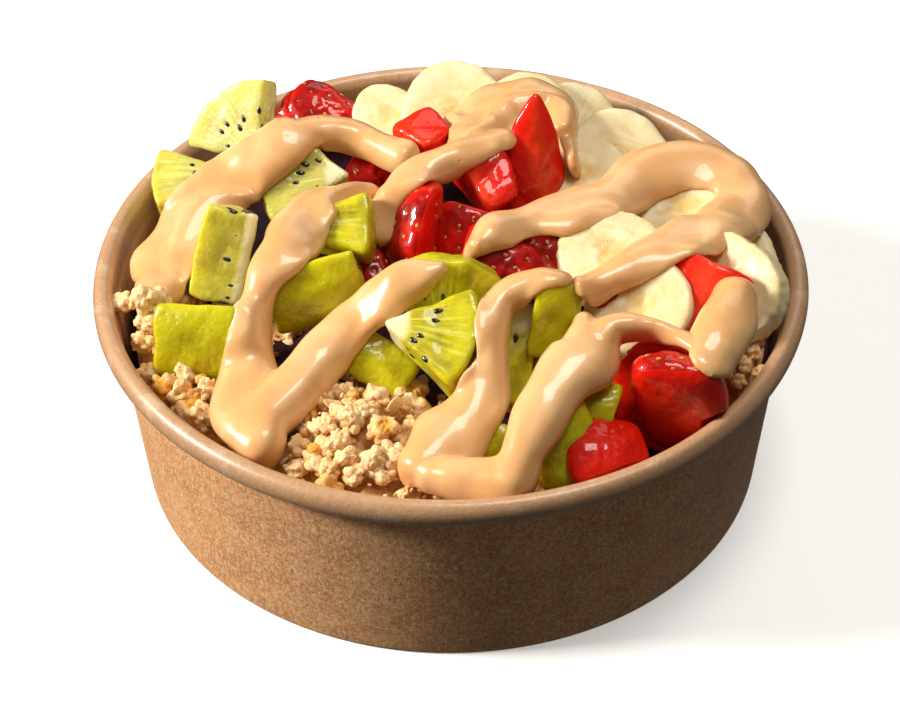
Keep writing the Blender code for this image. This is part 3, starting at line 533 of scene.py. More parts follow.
def granola_spots(draw, count, spread=0.0):
    """Random points over both banks, a little in from their edges."""
    found = []
    for bank, share in (("granola_front", 0.88), ("granola_right", 0.12)):
        start, finish, inner = GRANOLA_BANKS[bank]
        number = int(count * share)
        turn = np.radians(draw.uniform(start + 2, finish - 2, number))
        across = np.sqrt(draw.uniform((inner + 1) ** 2, 66.0 ** 2, number))
        found.append(np.column_stack([across * np.cos(turn), across * np.sin(turn)]))
    spots = np.vstack(found)
    height = granola_height(spots[:, 0], spots[:, 1]) + draw.uniform(-1.0, 0.4, len(spots)) + spread
    return np.column_stack([spots, height])


def granola_finish(name, gloss):
    """Baked oats: pale dusty skin, toasted patches, hollows darkened as painted shade, amber syrup where most
    toasted, fine open grain.
    """
    finish = Finish(name, Roughness=0.7, Specular_IOR_Level=0.35, Coat_Roughness=0.3,
                    Subsurface_Weight=0.12, Subsurface_Scale=0.002, Coat_Weight=gloss)
    browned = finish.attribute("browned")
    cloud = finish.noise(330, 3, 0.6)
    grain = finish.noise(1900, 3, 0.65)
    pores = finish.cells(1300).between(0.05, 0.5)
    # toast mixes real browning with painted shade that darkens the hollows between the knobs
    toast = (cloud * 0.8 + browned * 0.6).between(0.45, 0.98)
    colour = finish.blend(toast, OAT_PALE, OAT_TOAST_AND_SHADE)
    colour = finish.blend((browned - 0.72 + cloud * 0.2).between(0.0, 0.2), colour, OAT_HONEY)
    colour = finish.blend((1.0 - pores) * 0.35, colour, (0.42, 0.20, 0.07))
    colour = finish.blend(grain.between(0.58, 0.72) * 0.35, colour, (0.93, 0.70, 0.42))
    return finish.wear(colour, 0.55 + grain * 0.35, grain * 0.8 + pores * 0.7 + cloud, 0.4, 0.0006)


oat_draw = np.random.default_rng(7)
oat_material = granola_finish("baked_oats", 0.08)
for bank in GRANOLA_BANKS:
    core_points, core_faces = granola_core(bank)
    mesh_piece(bank.replace("granola", "granola_core"), core_points, core_faces, oat_material,
               [bank], {"browned": np.full(len(core_points), 0.55)})

cluster_ways, cluster_faces = ball_grid(12)
spots = granola_spots(oat_draw, 46)
clusters = np.vstack([np.array(CLUSTERS).reshape(-1, 5),
                      np.column_stack([spots, oat_draw.uniform(2.4, 4.2, len(spots)),
                                       oat_draw.uniform(0, 1, len(spots))])])
shapes, browned = [], []
for (x, y, z, reach, brown), turned in zip(clusters, random_turns(oat_draw, len(clusters))):
    out = lumpy(cluster_ways, oat_draw, 26, 0.62)
    # painted shade: points sunk between the knobs get a higher toast value and so a darker colour
    browned.append(0.8 * brown + 1.0 * (0.86 - out))
    out *= reach * 1.15
    out *= 1 + 0.05 * ripple(cluster_ways * 9, 5.0, int(oat_draw.integers(1e6)))
    squash = np.array([1.0, oat_draw.uniform(0.7, 1.0), oat_draw.uniform(0.6, 0.9)])
    shapes.append((cluster_ways * out[:, None] * squash) @ turned.T + (x, y, z))
scattered("granola_clusters", np.array(shapes), cluster_faces, oat_material, np.array(browned),
          ["granola_front", "granola_right"])

puff_ways, puff_faces = ball_grid(5)
spots = granola_spots(oat_draw, 110, 0.8)
sizes = oat_draw.uniform(1.1, 2.0, len(spots))
shapes = []
for spot, size, turned in zip(spots, sizes, random_turns(oat_draw, len(spots))):
    out = lumpy(puff_ways, oat_draw, 7, 0.8) * size
    shapes.append((puff_ways * out[:, None] * (1, 0.9, 0.8)) @ turned.T + spot)
puff_material = granola_finish("puffed_grain", 0.2)
scattered("granola_puffs", np.array(shapes), puff_faces, puff_material,
          oat_draw.uniform(0, 1, len(spots)), ["granola_front", "granola_right"])


def oat_flake(ways):
    """A rolled oat: a ball pressed flat, bent once along its length, with a crease."""
    flat = ways * (2.6, 1.8, 0.42)
    flat[:, 2] += 0.10 * flat[:, 0] ** 2 - 0.12 * np.exp(-(flat[:, 1] / 0.35) ** 2)
    return flat


flake_ways, flake_faces = ball_grid(4)
flake_shape = oat_flake(flake_ways)
spots = granola_spots(oat_draw, 170, 0.6)
turns = random_turns(oat_draw, len(spots))
sizes = oat_draw.uniform(0.7, 1.15, len(spots))
shapes = (flake_shape[None] * sizes[:, None, None]) @ turns.transpose(0, 2, 1) + spots[:, None, :]
scattered("granola_flakes", shapes, flake_faces, oat_material, oat_draw.uniform(0, 0.8, len(spots)),
          ["granola_front", "granola_right"])

crumb_ways, crumb_faces = ball_grid(2)
spots = granola_spots(oat_draw, 420, 0.9)
turns = random_turns(oat_draw, len(spots))
sizes = oat_draw.uniform(0.3, 0.9, (len(spots), 1, 1)) * oat_draw.uniform(0.7, 1.3, (len(spots), 1, 3))
crumb_lump = crumb_ways * (1 + 0.25 * ripple(crumb_ways * 3, 2.5, 5))[:, None]
shapes = (crumb_lump[None] * sizes) @ turns.transpose(0, 2, 1) + spots[:, None, :]
scattered("granola_crumbs", shapes, crumb_faces, oat_material, oat_draw.uniform(0, 1, len(spots)),
          ["granola_front", "granola_right"])

# ---------------------------------------------------------------------------------------------------
# Kiwi
# Peeled kiwi fruit cut crosswise in thick slices and then in wedges and blocks.  The flesh is wet and
# lets light in; a pale core runs down the middle, with black seeds in a ring about it.
# ---------------------------------------------------------------------------------------------------
KIWI_HALF_LENGTH = 34.0
SOFT_EDGE = 0.45
FRUIT_STEPS = 44
KIWI_PIECES = {
    "kiwi_back_slice": ((-40, 30, 52), (-0.63, 0.43, 0.65), (-0.35, -0.74, 0.57), 84, 18, 8, 0),
    "kiwi_left_chunk": ((-45, 23, 52), (-0.99, -0.06, 0.09), (-0.10, -0.38, 0.92), 48, 19, 10, 4),
    "kiwi_upper_wedge": ((-21, 22, 53), (-0.99, -0.02, 0.13), (0.00, -0.61, 0.79), 74, 20, 8, 0),
    "kiwi_left_slice": ((-40, -7, 53), (-0.89, 0.41, -0.18), (0.23, 0.51, 0.83), 62, 13, 20, 1.5),
    "kiwi_middle_block": ((-39, -0, 55), (0.99, -0.06, 0.08), (-0.12, -0.53, 0.84), 35, 24, 10, 11),
    "kiwi_skin_block": ((-28, -6, 49), (0.05, -0.92, 0.39), (0.96, 0.15, 0.25), 52, 16, 20, 0),
    "kiwi_left_cheek": ((-48, -17, 45), (0.00, -0.94, 0.34), (0.99, -0.15, 0.05), 74, 15, 19.5, 0),
    "kiwi_rear_slab": ((-2, -25, 48), (0.01, 0.39, 0.92), (0.15, -0.91, 0.38), 100, 17, 7, 0),
    "kiwi_front_wedge": ((-13, -31, 55), (0.97, -0.22, -0.10), (-0.10, -0.48, 0.87), 68, 19.5, 10, 0),
    "kiwi_small_bit": ((-13, -27, 40), (-0.10, -0.60, 0.79), (0.85, -0.41, -0.32), 60, 11, 13, 0),
    "kiwi_centre_wedge": ((14, -26, 58), (-0.09, -0.27, -0.96), (0.99, -0.15, -0.02), 52, 21, 8, 0),
    "kiwi_green_slab": ((17, -20, 51), (0.35, -0.77, 0.53), (0.16, 0.48, 0.86), 50, 13, 16, 0),
    "kiwi_right_chunk": ((27, -43, 43), (0.10, -0.60, 0.79), (0.94, -0.28, -0.17), 64, 11, 11, 0),
    "kiwi_front_slab": ((20, -50, 43), (0.20, -0.81, 0.56), (-0.46, 0.50, 0.74), 90, 11, 17, 0),
    "kiwi_front_bit": ((7, -47, 39), (0.00, -0.76, 0.65), (1.00, -0.01, -0.01), 60, 9, 9, 0),
}
KIWI_GOLD = (0.66, 0.60, 0.008)
KIWI_PALE = (0.82, 0.78, 0.17)
KIWI_DEEP = (0.40, 0.34, 0.003)
KIWI_CORE = (0.92, 0.84, 0.50)
# Painted light: a paler flesh colour for pieces meant to look more strongly lit.
KIWI_PAINTED_LIT = (0.90, 0.88, 0.42)
# Painted light: how far each listed piece is paled, as if the lamp fell on it more strongly.
KIWI_PAINTED_LIGHT_SHARE = {"kiwi_back_slice": 0.85, "kiwi_left_chunk": 0.45, "kiwi_upper_wedge": 0.5, "kiwi_left_slice": 0.2}


def fruit_turn(out, axis):
    """A turning matrix whose columns lay local x along out and local z along the axis."""
    along = np.array(axis, dtype=float)
    along /= np.linalg.norm(along)
    across = np.array(out, dtype=float)
    across -= along * (across @ along)
    across /= np.linalg.norm(across)
    return np.column_stack([across, np.cross(along, across), along])


def wedge_cuts(angle, low, high, inner):
    """The planes of a wedge of a slice, as outward ways and how far out each lies."""
    half = math.radians(angle) / 2
    cuts = [((0, 0, 1), high), ((0, 0, -1), -low)]
    if angle < 180:
        cuts += [((-math.sin(half), math.cos(half), 0), 0.0), ((-math.sin(half), -math.cos(half), 0), 0.0)]
    if angle < 360 and (inner or angle >= 180):
        cuts.append(((-1, 0, 0), -inner))
    return np.array([cut[0] for cut in cuts], dtype=float), np.array([cut[1] for cut in cuts])


def kiwi_peel(points, radius):
    """How far outside the peeled fruit a point lies: the ellipsoid's own measure times the radius."""
    across = (points[..., 0] ** 2 + points[..., 1] ** 2) / radius ** 2
    return (np.sqrt(across + points[..., 2] ** 2 / KIWI_HALF_LENGTH ** 2 + 1e-9) - 1) * radius


def outside_by(points, cuts, peel, soft=SOFT_EDGE):
    """The rounded greatest of all the distances outside: soft times the log of their summed powers."""
    ways, reaches = cuts
    apart = np.concatenate([points @ ways.T - reaches, peel(points)[..., None]], axis=-1) / soft
    top = apart.max(axis=-1)
    return soft * (top + np.log(np.exp(apart - top[..., None]).sum(axis=-1)))


def cut_surface(middle, ways, cuts, peel, far=45.0, soft=SOFT_EDGE):
    """The distance out of a middle point at which each way leaves the piece, by halving."""
    near, away = np.zeros(len(ways)), np.full(len(ways), far)
    for _ in range(26):
        half = (near + away) / 2
        beyond = outside_by(middle + ways * half[:, None], cuts, peel, soft) > 0
        away, near = np.where(beyond, half, away), np.where(beyond, near, half)
    return (near + away) / 2


def seed_spots_on(middle, targets, cuts, peel, soft=SOFT_EDGE):
    """Where the ways from the middle towards the targets leave the piece, and the normal of each."""
    ways = targets - middle
    ways /= np.linalg.norm(ways, axis=1)[:, None]
    spots = middle + ways * cut_surface(middle, ways, cuts, peel, soft=soft)[:, None]
    nudge = np.eye(3) * 0.05
    slope = np.stack([outside_by(spots + nudge[k], cuts, peel, soft)
                      - outside_by(spots - nudge[k], cuts, peel, soft) for k in range(3)], axis=-1)
    return spots, slope / np.linalg.norm(slope, axis=1)[:, None]


def kept_off_wall(points):
    """Points past the inside of the wall drawn in to it; over the rim the limit leans outwards."""
    slope = (NECK_RADIUS - FOOT_RADIUS) / (BOWL_HEIGHT - RIM_TALL)
    level = np.minimum(points[:, 2], BOWL_HEIGHT - RIM_TALL)
    limit = FOOT_RADIUS - PAPER - 0.5 + slope * level + 1.3 * np.maximum(points[:, 2] - BOWL_HEIGHT + 0.5, 0)
    share = np.minimum(limit / np.maximum(np.hypot(points[:, 0], points[:, 1]), 1.0), 1.0)
    return points * np.column_stack([share, share, np.ones(len(points))])


def near_seeds(points, spots, reach):
    """A bell about the nearest seed: one on it and nought a few reaches away."""
    if len(spots) == 0:
        return np.zeros(len(points))
    apart = np.linalg.norm(points[:, None, :] - spots[None], axis=-1).min(axis=1)
    return np.exp(-(apart / reach) ** 2)


def seed_bodies(spots, normals, along, shape, ways):
    """Teardrops laid on a surface: long way along, flat way up the normal, half sunk."""
    along = along - normals * (along * normals).sum(axis=1)[:, None]
    along /= np.linalg.norm(along, axis=1)[:, None]
    side = np.cross(normals, along)
    drop = ways * shape
    drop[:, 1] *= 1 - 0.35 * ways[:, 0]
    return (spots[:, None, :] + drop[None, :, :1] * along[:, None] + drop[None, :, 1:2] * side[:, None]
            + drop[None, :, 2:] * normals[:, None])


def kiwi_seed_targets(draw, angle, low, high, radius, inner):
    """Points in the ring of seeds: on the two slice faces, and on the cuts through the core."""
    half = math.radians(angle) / 2
    targets = []
    for face in (low, high):
        turn = np.arange(-half * 0.9, half * 0.9, 0.19) + draw.uniform(-0.04, 0.04)
        across = radius * draw.uniform(0.34, 0.62, len(turn))
        keep = (across * np.cos(turn) > inner + 1) & (draw.uniform(size=len(turn)) < 0.85)
        targets.append(np.column_stack([across * np.cos(turn), across * np.sin(turn),
                                        np.full(len(turn), face)])[keep])
    for side in (-half, half):
        level = np.arange(low + 1.2, high - 1.0, 2.6) + draw.uniform(-0.5, 0.5)
        across = radius * draw.uniform(0.30, 0.46, len(level))
        keep = draw.uniform(size=len(level)) < 0.8
        targets.append(np.column_stack([across * math.cos(side), across * math.sin(side), level])[keep])
    return np.vstack(targets)


def kiwi_finish():
    """Flesh worked out from the place in the whole fruit: core, ray-streaked seed zone, outer flesh."""
    finish = Finish("kiwi_flesh", Roughness=0.28, Specular_IOR_Level=0.25, Coat_Weight=0.5,
                    Coat_Roughness=0.07, Subsurface_Weight=0.7, Subsurface_Scale=0.006)
    finish.shader.inputs["Subsurface Radius"].default_value = (1.0, 0.75, 0.15)
    across = finish.attribute("across")
    halo = finish.attribute("by_seed")
    local = finish.attribute_vector("in_fruit")
    parts = finish.node("ShaderNodeSeparateXYZ", None, {0: local})
    x, y = Reading(finish, parts.outputs[0]), Reading(finish, parts.outputs[1])
    turn = y.reckon("ARCTAN2", x)
    around = finish.node("ShaderNodeCombineXYZ", None, {
        "X": turn * 9.0, "Y": across * 0.9,
        "Z": Reading(finish, parts.outputs[2]) * 0.05}).outputs[0]
    rays = finish.noise(1.6, 3, 0.55, around)
    cloud = finish.noise(170, 3, 0.6)
    grain = finish.noise(1500, 3, 0.6)
    wet = finish.cells(900).between(0.1, 0.55)
    core = 1.0 - (across + (rays - 0.5) * 0.12).between(0.22, 0.33)
    ring = across.between(0.24, 0.36) * (1.0 - across.between(0.58, 0.82))
    rim = across.between(0.84, 1.0)
    colour = finish.blend(cloud.between(0.35, 0.72), KIWI_GOLD, KIWI_DEEP)
    colour = finish.blend(rays.between(0.5, 0.68) * 0.6 * (1.0 - rim), colour, KIWI_PALE)
    colour = finish.blend(ring * (1.0 - rays.between(0.42, 0.56)) * 0.8, colour, KIWI_DEEP)
    colour = finish.blend(halo * 0.4, colour, KIWI_PALE)
    # painted light: the listed pieces are lightened towards a paler flesh colour, standing in for lamp light
    colour = finish.blend(finish.attribute("pale") * (0.35 + rays * 0.5), colour, KIWI_PAINTED_LIT)
    colour = finish.blend(core, colour, KIWI_CORE)
    colour = finish.blend(rim * 0.35, colour, (0.52, 0.48, 0.008))
    height = grain * 0.45 + wet * 0.5 + rays * ring * 0.8 + cloud * 0.5
    return finish.wear(colour, 0.22 + grain * 0.28, height, 0.24, 0.0007)


laid_points = []
fruit_ways, fruit_faces = ball_grid(FRUIT_STEPS)
seed_ways, seed_faces = ball_grid(4)
kiwi_material = kiwi_finish()
kiwi_seeds = []
for index, (name, (origin, out, axis, angle, radius, thick, inner)) in enumerate(KIWI_PIECES.items()):
    draw = np.random.default_rng(100 + index)
    turned = fruit_turn(out, axis)
    low, high = -thick / 2, thick / 2
    cuts = wedge_cuts(angle, low, high, inner)
    half = math.radians(angle) / 2
    middle = np.array([max((2 / 3) * radius * math.sin(half) / half, (inner + radius) / 2), 0, 0])
    peel = lambda points, radius=radius: kiwi_peel(points, radius)
    reach = cut_surface(middle, fruit_ways, cuts, peel)
    local = middle + fruit_ways * reach[:, None]
    seeds, normals = seed_spots_on(middle, kiwi_seed_targets(draw, angle, low, high, radius, inner),
                                   cuts, peel)
    halo = near_seeds(local, seeds, 1.3)
    across = np.sqrt(local[:, 0] ** 2 + local[:, 1] ** 2) / (
        radius * np.sqrt(np.maximum(1 - (local[:, 2] / KIWI_HALF_LENGTH) ** 2, 0.05)))
    uneven = 0.14 * ripple(local, 7, index) + 0.025 * ripple(local, 2.4, index + 50)
    local = local + fruit_ways * (uneven - 0.15 - 0.15 * halo)[:, None]
    laid_points.append(kept_off_wall(local @ turned.T + origin))
    mesh_piece(name + "_flesh", laid_points[-1], fruit_faces, kiwi_material, [name],
               {"across": across, "by_seed": halo, "in_fruit": local,
                "pale": np.full(len(local), KIWI_PAINTED_LIGHT_SHARE.get(name, 0.0))})
    outward = seeds * (1, 1, 0)
    bodies = seed_bodies(seeds - normals * 0.40, normals, outward, (1.0, 0.52, 0.36), seed_ways)
    kiwi_seeds.append(kept_off_wall((bodies @ turned.T + origin).reshape(-1, 3)).reshape(bodies.shape))

seed_finish = Finish("kiwi_seed", Roughness=0.25, Specular_IOR_Level=0.6, Coat_Weight=0.6,
                     Coat_Roughness=0.1)
seed_speck = seed_finish.noise(2500, 2, 0.5)
seed_material = seed_finish.wear(
    seed_finish.blend(seed_speck.between(0.4, 0.7), (0.006, 0.004, 0.003), (0.03, 0.016, 0.009)),
    0.2 + seed_speck * 0.2, seed_speck, 0.2, 0.0002)
kiwi_seeds = np.concatenate(kiwi_seeds)
scattered("kiwi_seeds", kiwi_seeds, seed_faces, seed_material, np.zeros(len(kiwi_seeds)),
          list(KIWI_PIECES))

# ---------------------------------------------------------------------------------------------------
# Strawberry
# Ripe berries, hulled and cut in halves, quarters and blocks.  The skin is glossy deep red with golden
# seeds, each in its own dimple; the cut flesh is paler, streaked from a light heart.
# ---------------------------------------------------------------------------------------------------
BERRY_HALF_LENGTH = 16.0
BERRY_EDGE = 0.75
BERRY_ROUNDER = {"strawberry_front_right": 2.0, "strawberry_front": 0.9, "strawberry_right_knob": 1.2}
BERRY_TAPER = 0.8
BERRY_SHOULDER = 0.42
BERRY_WIDEST = BERRY_SHOULDER / (BERRY_SHOULDER + BERRY_TAPER)
BERRY_SWELL = 1 / ((1 - BERRY_WIDEST) ** BERRY_TAPER * BERRY_WIDEST ** BERRY_SHOULDER)
BERRY_PIECES = {
    "strawberry_back": ((-28, 61, 40), (0.00, -0.53, 0.85), (0.90, -0.43, -0.04), 110, 10, -8, 8),
    "strawberry_back_left": ((-33, 60, 40), (-0.20, -0.59, 0.78), (0.64, -0.76, -0.06), 90, 9, -6, 6),
    "strawberry_cube": ((-10, 28, 61), (0.55, 0.49, -0.67), (0.70, -0.71, -0.01), 84, 12.5, -4.5, 7),
    "strawberry_dark_cheek": ((-15, 29, 44), (0.00, -0.53, 0.85), (0.94, -0.29, -0.18), 100, 10, -8, 7),
    "strawberry_two_faced": ((5, 10, 60), (0.46, 0.79, -0.41), (0.55, -0.68, -0.48), 92, 11, -7.5, 7.5),
    "strawberry_peak": ((19.2, 18, 60), (-0.30, 0.78, -0.50), (-0.03, 0.53, 0.85), 128, 9.0, -12.5, 16),
    "strawberry_tall": ((-1, 4, 53), (-0.93, -0.24, 0.29), (0.06, 0.39, 0.92), 90, 13.5, -10, 10),
    "strawberry_middle": ((2, 5, 46), (0.20, -0.51, 0.83), (-0.32, -0.76, -0.57), 100, 11, -8, 8),
    "strawberry_seeded": ((12, -8, 50), (0.00, -0.53, 0.85), (0.96, -0.25, -0.13), 120, 10, -10, 13),
    "strawberry_small": ((19, -4, 51), (0.10, -0.52, 0.85), (0.43, -0.74, -0.52), 90, 8, -6, 6),
    "strawberry_sliver": ((-18, -2, 46), (0.30, -0.49, 0.82), (-0.40, 0.60, 0.70), 80, 8, -6, 6),
    "strawberry_right": ((49, -26, 58), (0.30, 0.78, -0.55), (-0.43, -0.66, -0.61), 150, 9.8, -9, 14),
    "strawberry_right_knob": ((31, -19, 51), (0.00, -0.92, 0.39), (0.06, 0.39, 0.92), 96, 8, -6, 7),
    "strawberry_dull": ((39.5, -44, 47.5), (0.00, 0.76, -0.65), (0.12, 0.47, 0.88), 150, 11.5, -11, 11),
    "strawberry_front_right": ((45.2, -52, 49.6), (-0.09, 1.00, 0.03), (0.95, -0.14, 0.27), 170, 13.8, -11, 8.8),
    "strawberry_front": ((30, -54.5, 39.5), (0.21, -0.18, 0.96), (0.97, 0.22, 0.09), 96, 11.3, -9, 8),
}
BERRY_PARED = {"strawberry_front"}
BERRY_RED = (0.66, 0.006, 0.001)
BERRY_DEEP = (0.26, 0.003, 0.001)
BERRY_FLESH = (0.86, 0.016, 0.002)
BERRY_HEART = (0.90, 0.07, 0.015)


def berry_reach(level, radius):
    """The berry's radius at a level on its axis: broad shoulders at the stem and a blunt tip."""
    share = np.clip(0.5 + level / (2 * BERRY_HALF_LENGTH), 0.002, 0.998)
    return radius * BERRY_SWELL * (1 - share) ** BERRY_TAPER * share ** BERRY_SHOULDER


def berry_peel(points, radius):
    """How far outside the berry a point lies, measured square to its axis and past its two ends."""
    across = np.sqrt(points[..., 0] ** 2 + points[..., 1] ** 2)
    return np.maximum(across - berry_reach(points[..., 2], radius),
                      np.abs(points[..., 2]) - BERRY_HALF_LENGTH) * 0.9


def achene_spots(radius, cuts):
    """Seed places over the skin: turns by the golden angle, levels evenly down the berry."""
    count = 150
    order = np.arange(count) + 0.5
    level = BERRY_HALF_LENGTH * (1 - 2 * order / count)
    turn = order * math.pi * (3 - math.sqrt(5))
    across = berry_reach(level, radius)
    spots = np.column_stack([across * np.cos(turn), across * np.sin(turn), level])
    inside = (spots @ cuts[0].T - cuts[1]).max(axis=1) < -0.7
    return spots[inside & (across > 2.2)]


def berry_finish():
    """Skin where the skin mask is one, darkened as painted shade in the dimple round each seed; elsewhere cut
    flesh with pale streaks about a light heart.
    """
    finish = Finish("strawberry_flesh", Roughness=0.3, Specular_IOR_Level=0.15, Coat_Weight=0.6,
                    Coat_Roughness=0.04, Subsurface_Weight=0.6, Subsurface_Scale=0.006)
    finish.shader.inputs["Subsurface Radius"].default_value = (1.0, 0.15, 0.06)
    skin = finish.attribute("skin")
    across = finish.attribute("across")
    halo = finish.attribute("by_seed")
    local = finish.attribute_vector("in_fruit")
    streaks = finish.noise(0.9, 4, 0.6, finish.stretched(local, (1.0, 1.0, 0.35)), 0.8)
    cloud = finish.noise(120, 3, 0.55)
    grain = finish.noise(1400, 3, 0.6)
    colour = finish.blend((across + (streaks - 0.5) * 0.6).between(0.0, 0.55), BERRY_HEART, BERRY_FLESH)
    colour = finish.blend(0.2 + cloud.between(0.4, 0.7) * 0.5, colour, BERRY_RED)
    colour = finish.blend(streaks.between(0.60, 0.72) * 0.25, colour, BERRY_HEART)
    skinned = finish.blend(cloud.between(0.38, 0.68), BERRY_RED, BERRY_DEEP)
    # painted shade: the skin is darkened in the dimple round each seed
    skinned = finish.blend(halo * 0.5, skinned, BERRY_DEEP)
    colour = finish.blend(skin.between(0.3, 0.7), colour, skinned)
    wet = finish.cells(480).between(0.1, 0.6)
    wrinkles = finish.noise(420, 3, 0.55)
    height = grain * 0.35 + cloud * 0.4 + streaks * (1.0 - skin) * 0.6 + wet * 0.5 + wrinkles * 0.8
    return finish.wear(colour, 0.26 + grain * 0.25, height, 0.28, 0.0008)


berry_material = berry_finish()
achene_bodies = []
for index, (name, (origin, out, axis, angle, radius, low, high)) in enumerate(BERRY_PIECES.items()):
    turned = fruit_turn(out, axis)
    cuts = wedge_cuts(angle, low, high, 0)
    half = math.radians(angle) / 2
    middle = np.array([0.55 * radius * math.sin(half) / half, 0, max(low, -12) * 0.5 + min(high, 10) * 0.5])
    peel = lambda points, radius=radius: berry_peel(points, radius)
    soft = BERRY_ROUNDER.get(name, BERRY_EDGE)
    local = middle + fruit_ways * cut_surface(middle, fruit_ways, cuts, peel, soft=soft)[:, None]
    flat = (local @ cuts[0].T - cuts[1]).max(axis=1)
    skin = np.clip((berry_peel(local, radius) - flat) / 0.8 + 0.5, 0, 1)
    across = np.hypot(local[:, 0], local[:, 1]) / np.maximum(berry_reach(local[:, 2], radius), 1.5)
    seeds = achene_spots(radius, cuts)
    if name in BERRY_PARED:
        skin, seeds = 0 * skin, seeds[:0]
    halo = near_seeds(local, seeds, 0.85) * skin
    uneven = 0.16 * ripple(local, 8, index + 200) + 0.03 * ripple(local, 2.6, index + 250)
    local = local + fruit_ways * (uneven - 0.12 - 0.30 * halo)[:, None]
    laid_points.append(kept_off_wall(local @ turned.T + origin))
    mesh_piece(name + "_flesh", laid_points[-1], fruit_faces, berry_material, [name],
               {"skin": skin, "across": across, "by_seed": halo, "in_fruit": local})
    if len(seeds):
        spots, normals = seed_spots_on(middle, seeds, cuts, peel, soft)
        downward = np.tile((0.0, 0.0, 1.0), (len(spots), 1))
        bodies = seed_bodies(spots - normals * 0.42, normals, downward, (0.62, 0.38, 0.24), seed_ways)
        achene_bodies.append(
            kept_off_wall((bodies @ turned.T + origin).reshape(-1, 3)).reshape(bodies.shape))

achene_finish = Finish("strawberry_seed", Roughness=0.4, Specular_IOR_Level=0.5, Coat_Weight=0.4,
                       Coat_Roughness=0.15)
achene_speck = achene_finish.noise(1800, 2, 0.5)
achene_material = achene_finish.wear(
    achene_finish.blend(achene_speck.between(0.35, 0.65), (0.70, 0.30, 0.05), (0.42, 0.10, 0.015)),
    0.3 + achene_speck * 0.2, achene_speck, 0.2, 0.0002)
achene_bodies = np.concatenate(achene_bodies)
scattered("strawberry_seeds", achene_bodies, seed_faces, achene_material, np.zeros(len(achene_bodies)),
          list(BERRY_PIECES))

# ---------------------------------------------------------------------------------------------------
# Banana
# Peeled ripe banana cut straight across in slices.  The flesh is pale cream with a yellower heart in
# three lobes, each with a row of tiny dark seed specks.
# ---------------------------------------------------------------------------------------------------
BANANA_SLICES = {
    "banana_back_left": ((-14, 57, 44), (0.05, -0.39, 0.92), 8.5, 6, 0.3),
    "banana_back_rim": ((2, 49, 49), (0.00, -0.57, 0.82), 13.5, 6, 1.1),
    "banana_back": ((17, 44, 51), (0.10, -0.52, 0.85), 12, 6, 2.0),
    "banana_back_right": ((27, 46, 48), (0.15, -0.42, 0.89), 12, 6, 2.7),
    "banana_inner": ((28, 24, 51), (0.01, -0.33, 0.94), 11.5, 6, 0.8),
    "banana_outer": ((37, 30, 51), (0.11, -0.33, 0.94), 12.3, 6, 1.7),
    "banana_loop": ((49, 12, 51), (0.01, -0.33, 0.94), 11, 6, 2.4),
    "banana_centre": ((33, -8, 54), (0.05, -0.35, 0.93), 11.5, 6, 0.1),
    "banana_right": ((57, -1, 46), (-0.19, -0.42, 0.89), 12, 6, 1.4),
    "banana_front": ((38, -24, 54), (-0.22, -0.46, 0.86), 11, 6, 2.2),
    "banana_standing": ((56, -17, 52), (-0.50, -0.54, 0.67), 12.5, 6, 0.6),
}
BANANA_CREAM = (0.86, 0.69, 0.35)
BANANA_PALE = (0.92, 0.80, 0.50)
BANANA_HEART = (0.82, 0.56, 0.16)


def banana_outline(turn, radius, shape):
    """The outline of a slice: a circle with a three-fold and a two-fold wave."""
    return radius * (1 + 0.035 * np.cos(3 * turn + shape) + 0.025 * np.cos(2 * turn + 2.3 * shape))


def banana_surface(ways, radius, thick, shape):
    """The rounded greatest of the distances past the two faces and past the outline."""
    cuts = (np.array([[0, 0, 1.0], [0, 0, -1.0]]), np.array([thick / 2 + 0.1, thick / 2 + 0.1]))

    def rim(points):
        turn = np.arctan2(points[..., 1], points[..., 0])
        return np.hypot(points[..., 0], points[..., 1]) - banana_outline(turn, radius, shape)
    return ways * cut_surface(np.zeros(3), ways, cuts, rim, soft=0.6)[:, None]


def banana_finish():
    """Cream flesh with fine rays, a yellower three-lobed heart and rows of tiny specks."""
    finish = Finish("banana_flesh", Roughness=0.45, Specular_IOR_Level=0.4, Coat_Weight=0.22,
                    Coat_Roughness=0.25, Subsurface_Weight=0.35, Subsurface_Scale=0.005)
    finish.shader.inputs["Subsurface Radius"].default_value = (1.0, 0.7, 0.35)
    local = finish.attribute_vector("in_fruit")
    across = finish.attribute("across")
    parts = finish.node("ShaderNodeSeparateXYZ", None, {0: local})
    turn = Reading(finish, parts.outputs[1]).reckon("ARCTAN2", Reading(finish, parts.outputs[0]))
    lobes = (turn * 3.0).reckon("COSINE")
    around = finish.node("ShaderNodeCombineXYZ", None,
                         {"X": turn * 7.0, "Y": across * 1.2, "Z": 0.0}).outputs[0]
    rays = finish.noise(2.2, 3, 0.6, around)
    cloud = finish.noise(160, 3, 0.6)
    grain = finish.noise(1300, 4, 0.62)
    heart = 1.0 - (across - lobes * 0.09 + (rays - 0.5) * 0.12).between(0.22, 0.42)
    ring = 1.0 - ((across - 0.52) * 12.0).reckon("ABSOLUTE").between(0.0, 1.0)
    specks = (1.0 - finish.cells(0.95, local).between(0.10, 0.22)) * (
        1.0 - ((across - 0.2) * 8.0).reckon("ABSOLUTE").between(0.3, 1.0)) * lobes.between(0.2, 0.8)
    colour = finish.blend(cloud.between(0.4, 0.68), BANANA_CREAM, BANANA_PALE)
    colour = finish.blend(heart * 0.75, colour, BANANA_HEART)
    colour = finish.blend(ring * 0.25, colour, BANANA_HEART)
    colour = finish.blend(rays.between(0.52, 0.68) * 0.3, colour, BANANA_PALE)
    colour = finish.blend(specks * 0.8, colour, (0.28, 0.16, 0.05))
    height = grain * 0.6 + rays * 0.35 + cloud * 0.5 - heart * 0.4
    return finish.wear(colour, 0.34 + grain * 0.25, height, 0.3, 0.0007)


